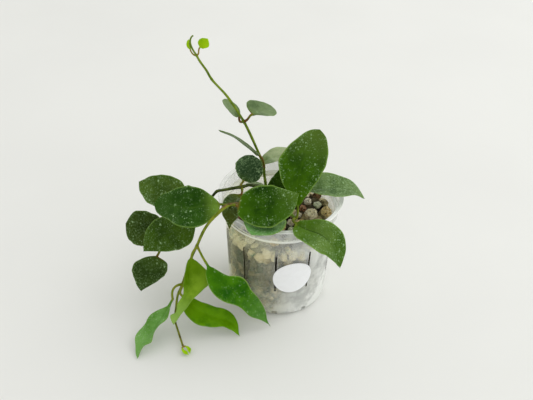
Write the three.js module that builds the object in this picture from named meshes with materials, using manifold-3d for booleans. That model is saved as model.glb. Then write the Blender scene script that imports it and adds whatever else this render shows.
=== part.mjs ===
// A hoya in a clear slotted pot. Millimetres, +Z up. The origin is the middle of the pot's underside.
// Seen from the front, +X is to the right and +Y is away.
import * as THREE from 'three';
import { mergeVertices } from 'three/addons/utils/BufferGeometryUtils.js';
import Module from 'manifold-3d';

const wasm = await Module();
wasm.setup();

// ---- Driving dimensions ----

const GAP = 0.3; // left between pieces that touch

const POT = {
  height: 77.6,
  lipRadius: 40,
  lipHeight: 1.2,
  collarTopRadius: 38.3,
  collarRadius: 37.5,
  collarBottom: 67.5,
  shoulderRadius: 35.9, // the wall's outside, just under the collar
  baseRadius: 32.6, // the wall's outside, carried down to the table
  baseRounding: 3.5,
  step: 0.8, // how far the slopes under the collar and under the lip run
  wall: 1.0,
  floor: 1.5,
  segments: 50,
};
const INNER_CORNER = [[0, 3], [1, 1], [3, 0]]; // how far in from the wall, and above the floor
const SLOTS = { count: 10, width: 1.2, bottom: 24, top: 54, firstAzimuth: -3 };
const NOTCHES = { width: 3.4, bottom: 1.6, top: 4.4 }; // drain notches in the base's rounding
const STICKER = { diameter: 25.5, thickness: 0.35, azimuth: 15.5, height: 35.2 };
const MEDIUM = { top: 54.5, dome: 2.5, lump: 1.0 };
const HEAP = { x: 24, y: 10, height: 8.5, spread: 19 }; // the grit is piled up at the back right
const PEBBLES = { spread: 30, tries: 22, smallest: 3.0, largest: 3.9, sunk: 1.6, stemRoom: 7.0 };
const BLADE = { thickness: 1.0, tipRadius: 0.3, petioleRadius: 0.7 };
const NODE_SWELLING = { share: 0.3, length: 2 }; // of a stem's radius, where it carries leaves

// Each stem runs from its buried root to its end, and thins from the first radius to the second.
// nodes are the points of its path where it carries leaves.
const STEMS = {
  stem_upright: {
    radii: [1.15, 0.6],
    path: [
      [-7, 15, 44], [-8.5, 19, 57], [-10, 22, 68.5], [-11, 22, 76], [-11.7, 22, 83], [-16.6, 22, 95],
      [-20.8, 22, 105.5], [-24.3, 22, 115.5], [-30.5, 22, 126.5], [-39.5, 22, 140], [-48, 22, 152],
      [-53.5, 22, 160.5], [-55.5, 22, 164.5], [-56.5, 22, 168.5], [-55.8, 22, 171.5], [-54.5, 22, 173],
    ],
    nodes: [4, 7, 11],
  },
  stem_left: {
    radii: [1.3, 0.85],
    path: [
      [-15, 10, 44], [-14, 8, 59], [-13, 4, 69], [-17, -1, 78], [-20.5, -2, 81.5], [-24.5, -3.5, 82],
      [-30, -7, 83.3], [-35, -9.5, 84.2], [-41.5, -11, 83.3], [-48, -11, 79.5], [-57, -9.5, 72.5],
      [-66.5, -10, 60], [-77, -15.5, 44],
    ],
    nodes: [2, 5, 10, 12],
  },
  stem_trailing: {
    radii: [1.5, 0.6],
    path: [
      [-10, -2, 44], [-12, -6, 58], [-14, -10, 66], [-18.5, -16, 77], [-23, -22, 84.5],
      [-28, -26.5, 87.5], [-30.5, -28, 89.5], [-34, -29.5, 89], [-38.2, -31, 85.5], [-42.5, -31, 78.5],
      [-46.5, -29.5, 69], [-51.5, -28, 55], [-56.5, -28, 41.5], [-61, -34.5, 28], [-64, -37, 20.5],
      [-65, -41, 13], [-64.5, -47, 9], [-60.8, -55.5, 4.5], [-57.5, -64, 2],
    ],
    nodes: [2, 5, 11, 13, 18],
  },
  stem_right: {
    radii: [1.2, 0.95],
    path: [
      [7, 6, 44], [6, 3, 58], [3.5, -1, 67], [4.5, -12, 74.5], [5.5, -20.5, 77.5], [9, -27.5, 79],
    ],
    nodes: [2, 5],
  },
};

// midrib runs from the base of the blade to its tip, and face is where the middle of the blade
// looks. belly is where the blade is widest, from its base. root and end shape its outline: 0.5 is
// round, and 1 or more is pointed. cup lifts the margins, wave ripples them and twist is in degrees.
const LEAVES = {
  leaf_upright_edge_on: {
    stem: 'stem_upright', node: 4, width: 13, face: [0.42, 0.42, 0.8], end: 0.9,
    midrib: [[-14.5, 16, 93.8], [-23, 17, 101.6], [-31.5, 18.2, 107.5], [-40.5, 19, 110.8]],
  },
  leaf_upright_pale: {
    stem: 'stem_upright', node: 4, width: 17, face: [0, 0, 1],
    midrib: [[-13.5, 29.5, 79.5], [-11, 30.5, 81.5], [-6, 32, 83.5], [5, 34, 85]],
  },
  leaf_upright_middle_right: {
    stem: 'stem_upright', node: 7, width: 17, face: [0.25, 0, 1], end: 0.55,
    midrib: [[-19.5, 20.5, 122.5], [-13.5, 27, 123.5], [-8, 33, 123.5]],
  },
  leaf_upright_middle_left: {
    stem: 'stem_upright', node: 7, width: 10, face: [0.6, -0.1, 0.8], end: 0.6,
    midrib: [[-27.5, 25.5, 117.5], [-32.5, 27, 122.5], [-38.5, 29, 127]],
  },
  leaflet_top_right: {
    stem: 'stem_upright', node: 11, tone: 'bud', width: 5, face: [0, -0.8, 0.6], end: 0.6,
    midrib: [[-50.5, 22, 165.5], [-48, 21.5, 169], [-45.5, 21, 172]],
  },
  leaflet_top_left: {
    stem: 'stem_upright', node: 11, tone: 'bud', width: 4, face: [-0.8, -0.3, 0.5],
    midrib: [[-57.2, 23, 163.5], [-58, 23.5, 166], [-58, 24.5, 169]],
  },
  leaf_left_flat: {
    stem: 'stem_left', node: 2, width: 11, face: [0, 0.5, 0.87],
    midrib: [[-8.5, 8, 75], [-14.5, 8.5, 77.5], [-22.5, 8.5, 77.5]],
  },
  leaf_left_round: {
    stem: 'stem_left', node: 5, width: 18, face: [0, -0.8, 0.6], end: 0.5, belly: 0.5,
    midrib: [[-24, 1, 85], [-22, 3.5, 88.5], [-20.5, 6, 92.5], [-18.5, 10, 99]],
  },
  leaf_left_over_rim: {
    stem: 'stem_left', node: 5, width: 12, face: [-0.2, -0.3, 0.9],
    midrib: [[-25, -6.5, 80], [-29, -16, 81.5], [-31, -24.5, 80.5], [-31.5, -29, 76], [-30.5, -31, 71]],
  },
  leaf_left_back: {
    stem: 'stem_left', node: 10, width: 18.5, face: [0, -0.7, 0.7],
    midrib: [[-61.5, -4, 72.5], [-70.5, -1, 75.5], [-80, 1, 77.5], [-90.5, 3, 80.5]],
  },
  leaf_left_front: {
    stem: 'stem_left', node: 10, width: 22, face: [0, -0.75, 0.65],
    midrib: [[-54, -13, 64.5], [-61, -16.5, 60], [-70.5, -18, 54.5], [-79.5, -19, 48], [-87, -20, 42]],
  },
  leaf_left_end_round: {
    stem: 'stem_left', node: 12, width: 23, face: [0, -0.8, 0.6], end: 0.55, belly: 0.5,
    midrib: [[-79, -8, 44.5], [-84.5, -5, 46.5], [-91.5, -3, 48.5], [-101, -1, 49]],
  },
  leaf_left_end_low: {
    stem: 'stem_left', node: 12, width: 23, face: [0, -0.8, 0.6],
    midrib: [[-78.3, -20, 38.5], [-81.8, -25, 32.5], [-84.3, -29, 25.5], [-87.6, -33, 19.5]],
  },
  leaf_trailing_on_rim: {
    stem: 'stem_trailing', node: 2, width: 23, face: [0, 0, 1],
    midrib: [[-8.5, -17, 77.5], [-11, -28.5, 79.5], [-14, -37.5, 80.2], [-17.5, -44.5, 79]],
  },
  leaf_trailing_front: {
    stem: 'stem_trailing', node: 5, width: 26, face: [0, -0.65, 0.76], end: 0.7, belly: 0.46,
    midrib: [[-26.3, -28.5, 88], [-19, -31.3, 89], [-9.5, -32, 90.7], [0.8, -31, 93], [9.5, -25, 95]],
  },
  leaf_trailing_out: {
    stem: 'stem_trailing', node: 5, width: 27, face: [0, -0.6, 0.8], root: 0.6, end: 0.55, belly: 0.5,
    midrib: [
      [-37.3, -18.5, 82.5], [-46, -22, 83], [-57, -22.5, 81.3], [-68, -17.5, 77.8], [-79.5, -9.5, 72.8],
    ],
  },
  leaf_trailing_twisted: {
    stem: 'stem_trailing', node: 11, tone: 'youngLeaf',
    width: 19, face: [0, -0.8, 0.6], root: 0.8, end: 1.9, belly: 0.32,
    twist: 50,
    midrib: [
      [-54.5, -32.2, 49.8], [-50.5, -39, 44.5], [-52, -45.5, 37], [-57.5, -51.5, 28], [-64.5, -58, 15.5],
    ],
  },
  leaf_trailing_wavy: {
    stem: 'stem_trailing', node: 11, tone: 'youngLeaf',
    width: 17, face: [0.2, -0.75, 0.6], root: 0.95, end: 0.95,
    belly: 0.4, wave: 1.2,
    midrib: [
      [-45.5, -38.2, 51.5], [-40, -44.5, 46.8], [-34.5, -46.8, 41], [-25.5, -45.7, 32], [-16, -44.7, 21.5],
      [-9, -43.5, 10.8], [-4, -43.5, 1.5],
    ],
  },
  leaf_trailing_end_left: {
    stem: 'stem_trailing', node: 13, tone: 'youngLeaf',
    width: 13.5, face: [-0.5, -0.3, 0.8], root: 0.8, belly: 0.5,
    end: 0.95, wave: 0.8,
    midrib: [[-66.5, -42, 22], [-71, -48.5, 17], [-77.5, -56.5, 11.5], [-83, -65, 6.5], [-85.5, -74, 1.2]],
  },
  leaf_trailing_end_right: {
    stem: 'stem_trailing', node: 13, tone: 'youngLeaf',
    width: 14.5, face: [0, -0.5, 0.85], root: 0.55, end: 0.9, wave: 0.8,
    midrib: [
      [-57, -42.5, 24], [-50.5, -48, 19.5], [-42, -48.5, 15], [-32.5, -47, 10.5], [-27, -48.5, 6.5],
      [-23.5, -53, 1.4],
    ],
  },
  leaflet_end_left: {
    stem: 'stem_trailing', node: 18, tone: 'bud', width: 2.6, face: [0, -0.3, 1],
    midrib: [[-59, -65.8, 2.2], [-58.2, -68.2, 2.2], [-54.9, -70.4, 1.6]],
  },
  leaflet_end_right: {
    stem: 'stem_trailing', node: 18, tone: 'bud', width: 2.6, face: [0, -0.3, 1],
    midrib: [[-55.8, -64.9, 2.2], [-54, -67.2, 2.2], [-53, -69.6, 1.6]],
  },
  leaf_right_tall: {
    stem: 'stem_right', node: 5, width: 29, face: [0, -0.8, 0.6], root: 0.9, end: 0.8, belly: 0.54,
    midrib: [[8, -24.5, 86], [9, -17.5, 97], [11.5, -12.5, 108], [16, -6.5, 117.5], [21.5, 0, 125.5]],
  },
  leaf_right_drooping: {
    stem: 'stem_right', node: 5, width: 21, face: [0.1, -0.45, 0.9], belly: 0.5,
    midrib: [[6.5, -36.5, 79.8], [14, -42.5, 83.5], [22, -48.5, 84.5], [29.5, -52.5, 78], [35.5, -54, 64]],
  },
  leaf_right_back: {
    stem: 'stem_right', node: 2, width: 22, face: [0, -0.1, 1],
    midrib: [[13.5, -5.5, 83.5], [24, -4.5, 86.5], [34.5, -4, 87], [44, -5, 84.5], [52.5, -5.5, 79]],
  },
  leaf_right_shaded: {
    stem: 'stem_right', node: 2, width: 20, face: [0, -0.8, 0.6],
    midrib: [[3.5, 2, 73], [4, 4, 80], [4, 6.5, 87.5], [3, 10, 94]],
  },
};
const LEAF_DEFAULTS = {
  belly: 0.42, root: 0.5, end: 0.8, cup: 0.8, wave: 0, waves: 2.5, twist: 0, tone: 'leaf',
};

// The loose stones that show between the leaves: x, y and radius.
const SHOWN_STONES = [
  [17.6, 16, 2.4], [24.4, 16.7, 3.2], [24.2, 6, 3], [18, 8.6, 2.9], [30, 0.2, 4.2], [29.2, 10.6, 3],
  [19.9, -4, 4.3], [14.8, 3, 2.8], [11.8, -2.2, 2.5], [26.6, -6.6, 2.4], [13.6, -10.4, 3.4],
  [20.6, -12.6, 3.4], [27.6, -13.6, 3.1], [7, -7.8, 2.8], [1.2, -12.2, 3.3], [7.8, -16.2, 3.2],
  [14.9, -17.8, 3.3], [10.8, 17.6, 3.2],
];

const MATERIALS = {
  pot: new THREE.MeshStandardMaterial({
    color: 0xdfe4e2, roughness: 0.35, metalness: 0, transparent: true, opacity: 0.35,
  }),
  paper: new THREE.MeshStandardMaterial({ color: 0xf4f4f8, roughness: 0.7, metalness: 0 }),
  grit: new THREE.MeshStandardMaterial({ color: 0x9a8a70, roughness: 0.95, metalness: 0 }),
  stem: new THREE.MeshStandardMaterial({ color: 0x6d7a33, roughness: 0.6, metalness: 0 }),
  leaf: new THREE.MeshStandardMaterial({ color: 0x2f5a1f, roughness: 0.4, metalness: 0 }),
  youngLeaf: new THREE.MeshStandardMaterial({ color: 0x5c8f22, roughness: 0.4, metalness: 0 }),
  bud: new THREE.MeshStandardMaterial({ color: 0x9ccb3c, roughness: 0.45, metalness: 0 }),
};

// ---- Solids ----

const vec = (p) => new THREE.Vector3(...p);

const smoothCurve = (points) => new THREE.CatmullRomCurve3(points.map(vec), false, 'centripetal');

// A closed body through a row of rings, each counterclockwise as seen from ahead.
function loft(rings) {
  const n = rings[0].length;
  const index = [];
  for (let r = 0; r + 1 < rings.length; r++) {
    for (let i = 0; i < n; i++) {
      const a = r * n + i;
      const b = r * n + ((i + 1) % n);
      index.push(a, b, b + n, a, b + n, a + n);
    }
  }
  const last = (rings.length - 1) * n;
  for (let i = 1; i + 1 < n; i++) {
    index.push(0, i + 1, i, last, last + i, last + i + 1);
  }
  const geometry = new THREE.BufferGeometry();
  geometry.setAttribute('position', new THREE.Float32BufferAttribute(
    rings.flat().flatMap((p) => [p.x, p.y, p.z]), 3));
  geometry.setIndex(index);
  return geometry;
}

function toSolid(geometry) {
  const bare = geometry.clone();
  bare.deleteAttribute('normal');
  bare.deleteAttribute('uv');
  const merged = mergeVertices(bare, 1e-4);
  return new wasm.Manifold(new wasm.Mesh({
    numProp: 3,
    vertProperties: new Float32Array(merged.attributes.position.array),
    triVerts: new Uint32Array(merged.index.array),
  }));
}

function toGeometry(solid) {
  const mesh = solid.getMesh();
  const geometry = new THREE.BufferGeometry();
  geometry.setAttribute('position', new THREE.Float32BufferAttribute(mesh.vertProperties, 3));
  geometry.setIndex([...mesh.triVerts]);
  return geometry;
}

// ---- Pot and sticker ----

const wallRadius = (z) =>
  POT.baseRadius + (POT.shoulderRadius - POT.baseRadius) * (z / POT.collarBottom);

// The direction at an azimuth in degrees, from the front towards +X.
function outward(azimuth) {
  const a = THREE.MathUtils.degToRad(azimuth);
  return new THREE.Vector3(Math.sin(a), -Math.cos(a), 0);
}

// A block that goes through the wall.
function cutter(width, bottom, top, azimuth) {
  const depth = 7;
  const box = new THREE.BoxGeometry(width, depth, top - bottom);
  box.rotateZ(THREE.MathUtils.degToRad(azimuth));
  const middle = outward(azimuth).multiplyScalar(wallRadius((bottom + top) / 2));
  box.translate(middle.x, middle.y, (bottom + top) / 2);
  return toSolid(box);
}

function potGeometry() {
  const { wall } = POT;
  const lipBottom = POT.height - POT.lipHeight;
  const outside = [];
  const roundingSteps = 2;
  for (let i = 0; i <= roundingSteps; i++) {
    const a = (i / roundingSteps) * (Math.PI / 2);
    outside.push([
      wallRadius(POT.baseRounding) - POT.baseRounding * (1 - Math.sin(a)),
      POT.baseRounding * (1 - Math.cos(a)),
    ]);
  }
  const profile = [
    [0, 0],
    ...outside,
    [POT.shoulderRadius, POT.collarBottom - POT.step], [POT.collarRadius, POT.collarBottom],
    [POT.collarTopRadius, lipBottom - POT.step], [POT.lipRadius, lipBottom],
    [POT.lipRadius - 0.2, POT.height], [POT.collarTopRadius - wall, POT.height],
    [POT.collarRadius - wall, POT.collarBottom + 1], [POT.shoulderRadius - wall, POT.collarBottom],
    ...INNER_CORNER.map(([inset, rise]) => [wallRadius(rise) - wall - inset, POT.floor + rise]),
    [0, POT.floor],
  ].map(([r, z]) => new THREE.Vector2(r, z));
  const lathe = new THREE.LatheGeometry(profile, POT.segments);
  lathe.rotateX(Math.PI / 2);
  let pot = toSolid(lathe);
  for (let i = 0; i < SLOTS.count; i++) {
    const azimuth = SLOTS.firstAzimuth + (i * 360) / SLOTS.count;
    for (const cut of [SLOTS, NOTCHES]) {
      pot = pot.subtract(cutter(cut.width, cut.bottom, cut.top, azimuth));
    }
  }
  return toGeometry(pot);
}

// The sticker follows the wall: a ring of four corners for each step across it.
function stickerGeometry() {
  const half = STICKER.diameter / 2;
  const steps = 24;
  const rings = [];
  for (let i = 0; i <= steps; i++) {
    const a = Math.PI * (0.03 + 0.94 * (i / steps));
    const across = -half * Math.cos(a);
    const up = half * Math.sin(a);
    const turn = THREE.MathUtils.radToDeg(across / wallRadius(STICKER.height));
    const corner = (height, lift) => outward(STICKER.azimuth + turn)
      .multiplyScalar(wallRadius(height) + lift)
      .setZ(height);
    const low = STICKER.height - up;
    const high = STICKER.height + up;
    const outer = GAP + STICKER.thickness;
    rings.push([corner(low, GAP), corner(high, GAP), corner(high, outer), corner(low, outer)]);
  }
  return loft(rings);
}

// ---- Stems ----

// Carries a sideways direction along to the next tangent, so that rings don't spin.
const carried = (side, tangent) =>
  side.clone().addScaledVector(tangent, -side.dot(tangent)).normalize();

function stemRings(stem, extra = 0) {
  const curve = smoothCurve(stem.path);
  const spans = stem.path.length - 1;
  const stepsPerSpan = 2;
  const sides = 7;
  const nodePoints = stem.nodes.map((n) => vec(stem.path[n]));
  const rings = [];
  let side = new THREE.Vector3(1, 0, 0);
  for (let i = 0; i <= spans * stepsPerSpan; i++) {
    const t = i / (spans * stepsPerSpan);
    const centre = curve.getPoint(t);
    const tangent = curve.getTangent(t);
    side = carried(side, tangent);
    const up = tangent.clone().cross(side);
    const swelling = nodePoints.reduce(
      (most, p) => Math.max(most, Math.exp(-((p.distanceTo(centre) / NODE_SWELLING.length) ** 2))), 0);
    const radius = THREE.MathUtils.lerp(...stem.radii, t) * (1 + NODE_SWELLING.share * swelling) + extra;
    rings.push(Array.from({ length: sides }, (_, k) => {
      const a = (k / sides) * 2 * Math.PI;
      return centre.clone().addScaledVector(side, radius * Math.cos(a))
        .addScaledVector(up, radius * Math.sin(a));
    }));
  }
  return rings;
}

// The stem's radius at one of its nodes.
function stemRadius(stem, node) {
  const share = node / (stem.path.length - 1);
  return THREE.MathUtils.lerp(...stem.radii, share) * (1 + NODE_SWELLING.share);
}

// ---- Leaves ----

// How wide the blade is at t, as a share of its widest.
function outline(leaf, t) {
  if (t < leaf.belly) return (1 - (1 - t / leaf.belly) ** 2) ** leaf.root;
  return (1 - ((t - leaf.belly) / (1 - leaf.belly)) ** 2) ** leaf.end;
}

// A leaf in one body: a round petiole that starts beside its stem and spreads into the blade.
function leafGeometry(leaf) {
  const midrib = smoothCurve(leaf.midrib);
  const base = midrib.getPoint(0);

  const stem = STEMS[leaf.stem];
  const node = vec(stem.path[leaf.node]);
  const before = vec(stem.path[leaf.node - 1]);
  const after = vec(stem.path[Math.min(leaf.node + 1, stem.path.length - 1)]);
  const along = after.sub(before).normalize();
  const out = carried(base.clone().sub(node), along);
  const start = node.clone().addScaledVector(out, stemRadius(stem, leaf.node) + GAP);
  const reach = start.distanceTo(base) * 0.4;
  const petiole = new THREE.CubicBezierCurve3(
    start,
    start.clone().addScaledVector(out, reach),
    base.clone().addScaledVector(midrib.getTangent(0), -reach),
    base);

  const petioleSteps = 4;
  const bladeSteps = 10;
  const stations = [];
  for (let i = 0; i < petioleSteps; i++) {
    const t = i / petioleSteps;
    stations.push({ centre: petiole.getPoint(t), tangent: petiole.getTangent(t), share: 0, t: 0 });
  }
  for (let i = 0; i <= bladeSteps; i++) {
    const t = (1 - Math.cos((Math.PI * i) / bladeSteps)) / 2;
    stations.push({
      centre: midrib.getPointAt(t), tangent: midrib.getTangentAt(t), share: outline(leaf, t), t,
    });
  }

  const middle = petioleSteps + Math.round(bladeSteps / 2);
  stations[middle].side = vec(leaf.face).cross(stations[middle].tangent).normalize();
  for (let i = middle + 1; i < stations.length; i++) {
    stations[i].side = carried(stations[i - 1].side, stations[i].tangent);
  }
  for (let i = middle - 1; i >= 0; i--) {
    stations[i].side = carried(stations[i + 1].side, stations[i].tangent);
  }

  const top = [1, 0.55, 0, -0.55, -1]; // across the blade, as shares of its half width
  const rings = stations.map(({ centre, tangent, side, share, t }) => {
    const turn = THREE.MathUtils.degToRad(leaf.twist * (t - 0.5));
    const s = side.clone().applyAxisAngle(tangent, turn);
    const up = tangent.clone().cross(s);
    const least = t < 0.5 ? BLADE.petioleRadius : BLADE.tipRadius;
    const half = Math.max(share * leaf.width / 2, least);
    const place = (x, above) => {
      const angle = THREE.MathUtils.degToRad(18 + 36 * top.indexOf(x));
      if (share * leaf.width / 2 < least) {
        return centre.clone().addScaledVector(s, least * Math.cos(angle))
          .addScaledVector(up, (above ? 1 : -1) * least * Math.sin(angle));
      }
      const ripple = leaf.wave * Math.sin(2 * Math.PI * leaf.waves * t + (x > 0 ? 0 : 2));
      const lift = share * x * x * (leaf.cup + ripple);
      const skin = (BLADE.thickness / 2) * (1 - 0.5 * Math.abs(x)); // the margins are thinner
      return centre.clone().addScaledVector(s, x * half)
        .addScaledVector(up, lift + (above ? skin : -skin));
    };
    return [...top.map((x) => place(x, true)), ...[...top].reverse().map((x) => place(x, false))];
  });
  return loft(rings);
}

// ---- Growing medium and pebbles ----

function mediumTop(x, y) {
  const r = Math.hypot(x, y) / POT.baseRadius;
  const lumps = Math.sin(x * 0.55 + 1) * Math.cos(y * 0.6) + 0.6 * Math.sin(x * 0.9 - y * 0.8);
  const heap = Math.exp(-(((x - HEAP.x) ** 2 + (y - HEAP.y) ** 2) / HEAP.spread ** 2));
  return MEDIUM.top + MEDIUM.dome * (1 - r * r) + MEDIUM.lump * lumps + HEAP.height * heap;
}

function mediumGeometry() {
  const sides = 32;
  const floor = POT.floor + GAP;
  const inside = (z) => wallRadius(z) - POT.wall - 0.5;
  const ring = (radius, height) => Array.from({ length: sides }, (_, k) => {
    const a = (k / sides) * 2 * Math.PI;
    const [x, y] = [radius * Math.cos(a), radius * Math.sin(a)];
    return new THREE.Vector3(x, y, height ?? mediumTop(x, y));
  });
  return loft([
    ...INNER_CORNER.toReversed().map(([inset, rise]) => ring(inside(rise) - inset, floor + rise)),
    ring(inside(MEDIUM.top)),
    ...[0.83, 0.66, 0.5, 0.33, 0.16].map((share) => ring(inside(MEDIUM.top) * share)),
  ]);
}

// A stone: a ball with flats and dents that are the same in every run.
function pebbleGeometry(number, place, radius) {
  const stone = new THREE.IcosahedronGeometry(1, 1);
  stone.deleteAttribute('normal');
  stone.deleteAttribute('uv');
  const merged = mergeVertices(stone, 1e-4);
  const position = merged.attributes.position;
  for (let i = 0; i < position.count; i++) {
    const [x, y, z] = [position.getX(i), position.getY(i), position.getZ(i)];
    const dent = 1 - 0.09 * (1 + Math.sin(3.1 * x + 2.3 * number) * Math.cos(2.7 * y - number + z));
    position.setXYZ(i, x * radius * dent, y * radius * dent, z * radius * dent * 0.9);
  }
  merged.translate(place.x, place.y, place.z);
  return merged;
}

// The stones that show, and then a sunflower spread over what is left of the medium, with room where
// the stems come up.
function pebblePlaces() {
  const goldenTurn = Math.PI * (3 - Math.sqrt(5));
  const roots = Object.values(STEMS).map((stem) => vec(stem.path[1]));
  const stone = (x, y, radius) =>
    ({ radius, place: new THREE.Vector3(x, y, mediumTop(x, y) + radius - PEBBLES.sunk) });
  const places = SHOWN_STONES.map((shown) => stone(...shown));
  for (let i = 0; i < PEBBLES.tries; i++) {
    const r = PEBBLES.spread * Math.sqrt((i + 0.5) / PEBBLES.tries);
    const [x, y] = [r * Math.cos(i * goldenTurn), r * Math.sin(i * goldenTurn)];
    const share = (Math.sin(i * 5.7) + 1) / 2;
    const next = stone(x, y, THREE.MathUtils.lerp(PEBBLES.smallest, PEBBLES.largest, share));
    const nearRoot = roots.some((p) => Math.hypot(p.x - x, p.y - y) < PEBBLES.stemRoom);
    const touches = places.some((other) =>
      other.place.distanceTo(next.place) < other.radius + next.radius + GAP);
    if (!nearRoot && !touches) places.push(next);
  }
  return places;
}

// ---- The plant ----

const plant = new THREE.Group();

function addPiece(name, geometry, material) {
  const mesh = new THREE.Mesh(geometry, material);
  mesh.name = name;
  plant.add(mesh);
}

addPiece('pot', potGeometry(), MATERIALS.pot);
addPiece('label_sticker', stickerGeometry(), MATERIALS.paper);

let medium = toSolid(mediumGeometry());
pebblePlaces().forEach(({ place, radius }, i) => {
  const stone = pebbleGeometry(i, place, radius);
  medium = medium.subtract(toSolid(pebbleGeometry(i, place, radius + GAP)));
  addPiece(`pebble_${String(i + 1).padStart(2, '0')}`, stone, MATERIALS.grit);
});
for (const [name, stem] of Object.entries(STEMS)) {
  medium = medium.subtract(toSolid(loft(stemRings(stem, GAP + 0.05))));
  addPiece(name, loft(stemRings(stem)), MATERIALS.stem);
}
addPiece('growing_medium', toGeometry(medium), MATERIALS.grit);

for (const [name, spec] of Object.entries(LEAVES)) {
  const leaf = { ...LEAF_DEFAULTS, ...spec };
  addPiece(name, leafGeometry(leaf), MATERIALS[leaf.tone]);
}

export default plant;
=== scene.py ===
"""A young hoya in a clear slotted pot of grit: shoots, leaves, stones, pot and a blank label.

Each operator makes one group of pieces around the fixed frame. Sizes in tables and settings are
millimetres, and meshes and shaders are in metres. The origin is the middle of the pot's underside,
+Z is up and the camera stands on the -Y side.
"""
import math
import random

import bpy
import bmesh
import numpy as np
from mathutils import Matrix, Vector, noise


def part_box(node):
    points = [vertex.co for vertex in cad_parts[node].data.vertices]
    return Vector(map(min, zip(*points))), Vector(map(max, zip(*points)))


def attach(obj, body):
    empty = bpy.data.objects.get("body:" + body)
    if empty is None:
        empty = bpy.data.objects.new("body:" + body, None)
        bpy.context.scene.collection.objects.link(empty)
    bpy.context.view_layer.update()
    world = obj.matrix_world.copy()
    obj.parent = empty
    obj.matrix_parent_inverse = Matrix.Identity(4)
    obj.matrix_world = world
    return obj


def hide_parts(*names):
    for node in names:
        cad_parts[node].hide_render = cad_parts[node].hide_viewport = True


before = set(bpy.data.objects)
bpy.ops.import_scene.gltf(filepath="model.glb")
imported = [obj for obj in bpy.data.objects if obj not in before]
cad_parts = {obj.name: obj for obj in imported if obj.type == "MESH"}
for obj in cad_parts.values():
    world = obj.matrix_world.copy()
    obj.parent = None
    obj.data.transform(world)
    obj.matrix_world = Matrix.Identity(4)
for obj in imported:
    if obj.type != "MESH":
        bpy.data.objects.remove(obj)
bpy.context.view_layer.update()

bl_info = {
    "name": "Potted Hoya",
    "version": (1, 0, 0),
    "blender": (4, 5, 0),
    "location": "3D View > Sidebar > Hoya",
    "description": "Builds a young hoya in a clear slotted pot of grit",
    "category": "Add Mesh",
}

MM = 0.001
BODY = "root"


# ---- Stems and leaves, as they are placed in the frame ----

# A stem runs from its buried root to its end and thins from the first radius to the second.
# nodes are the points of its path that carry leaves, scars are where on the path older leaves or
# side shoots were, skin is its two mottled greens, bark is how brown its old end is, where 1 is the
# usual, and tan is how brown its upper side is, where 0 is the usual.
STEMS = {
    "stem_upright": {
        "radii": (1.1, 0.45),
        "skin": ((0.085, 0.150, 0.006), (0.19, 0.27, 0.02)),
        "path": [
            (-7, 15, 44), (-8.5, 19, 57), (-10, 22, 68.5), (-11, 22, 76), (-11.7, 22, 83),
            (-16.4, 22, 96), (-21, 22, 107.5), (-24.8, 22, 115.9), (-35, 22, 133.3),
            (-44.3, 22, 144.8), (-47.4, 22, 150.7), (-51.3, 22, 156.9), (-53, 22, 160.3),
            (-55.2, 22, 164.3), (-56.4, 22, 168.5), (-55.8, 22, 171.5), (-54.5, 22, 173),
        ],
        "nodes": (4, 7, 12),
        "scars": (9, 11),
        "bark": 0.45,
    },
    "stem_left": {
        "radii": (1.1, 0.78),
        "skin": ((0.020, 0.036, 0.003), (0.060, 0.085, 0.010)),
        "path": [
            (-15, 10, 44), (-14, 8, 59), (-13, 4, 69), (-15.2, 3, 78), (-19.5, 1, 82),
            (-25.1, -2, 82.6), (-31.3, -5, 83.3), (-35.9, -8, 84.2), (-39.8, -10, 84.5),
            (-42.6, -11, 81.4), (-47, -11, 76.3), (-57, -9.5, 71.5), (-66.5, -10, 60),
            (-77, -15.5, 44),
        ],
        "nodes": (2, 5, 11, 13),
        "scars": (8,),
    },
    "stem_trailing": {
        "radii": (1.3, 0.6),
        "skin": ((0.120, 0.170, 0.006), (0.240, 0.280, 0.020)),
        "path": [
            (-10, -2, 44), (-12, -6, 58), (-14, -10, 66), (-18, -15, 77), (-22, -20, 83.5),
            (-27.2, -25, 86.3), (-30.7, -27, 87.7), (-34.5, -29, 86.4), (-37.5, -30.3, 83.6),
            (-42.5, -31, 77.5), (-46.5, -30, 69.5), (-51.5, -28, 55), (-56.5, -28, 41.5),
            (-61, -34.5, 28), (-64, -37, 20.5), (-65, -41, 13), (-65.2, -47, 9),
            (-61.8, -55.5, 4.5), (-58.3, -64, 2),
        ],
        "nodes": (2, 5, 11, 13, 18),
        "scars": (),
        "bark": 0.6,
        "tan": 0.9,
    },
    "stem_right": {
        "radii": (1.15, 0.8),
        "skin": ((0.100, 0.200, 0.006), (0.210, 0.330, 0.030)),
        "path": [
            (7, 6, 44), (6, 3, 58), (3.5, -1, 67), (3.2, -12, 75.2), (4.1, -20.5, 79),
            (6.8, -26, 80.4), (8.8, -29.6, 80.3),
        ],
        "nodes": (2, 6),
        "scars": (),
        "bark": 0.15,
    },
}

USUAL_SHARES = (0.05, 0.12, 0.25, 0.4, 0.55, 0.7, 0.82, 0.92)


def margin(*half_widths):
    """The list of a margin that is given at the usual shares of the midrib."""
    return list(zip(USUAL_SHARES, half_widths))


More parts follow.
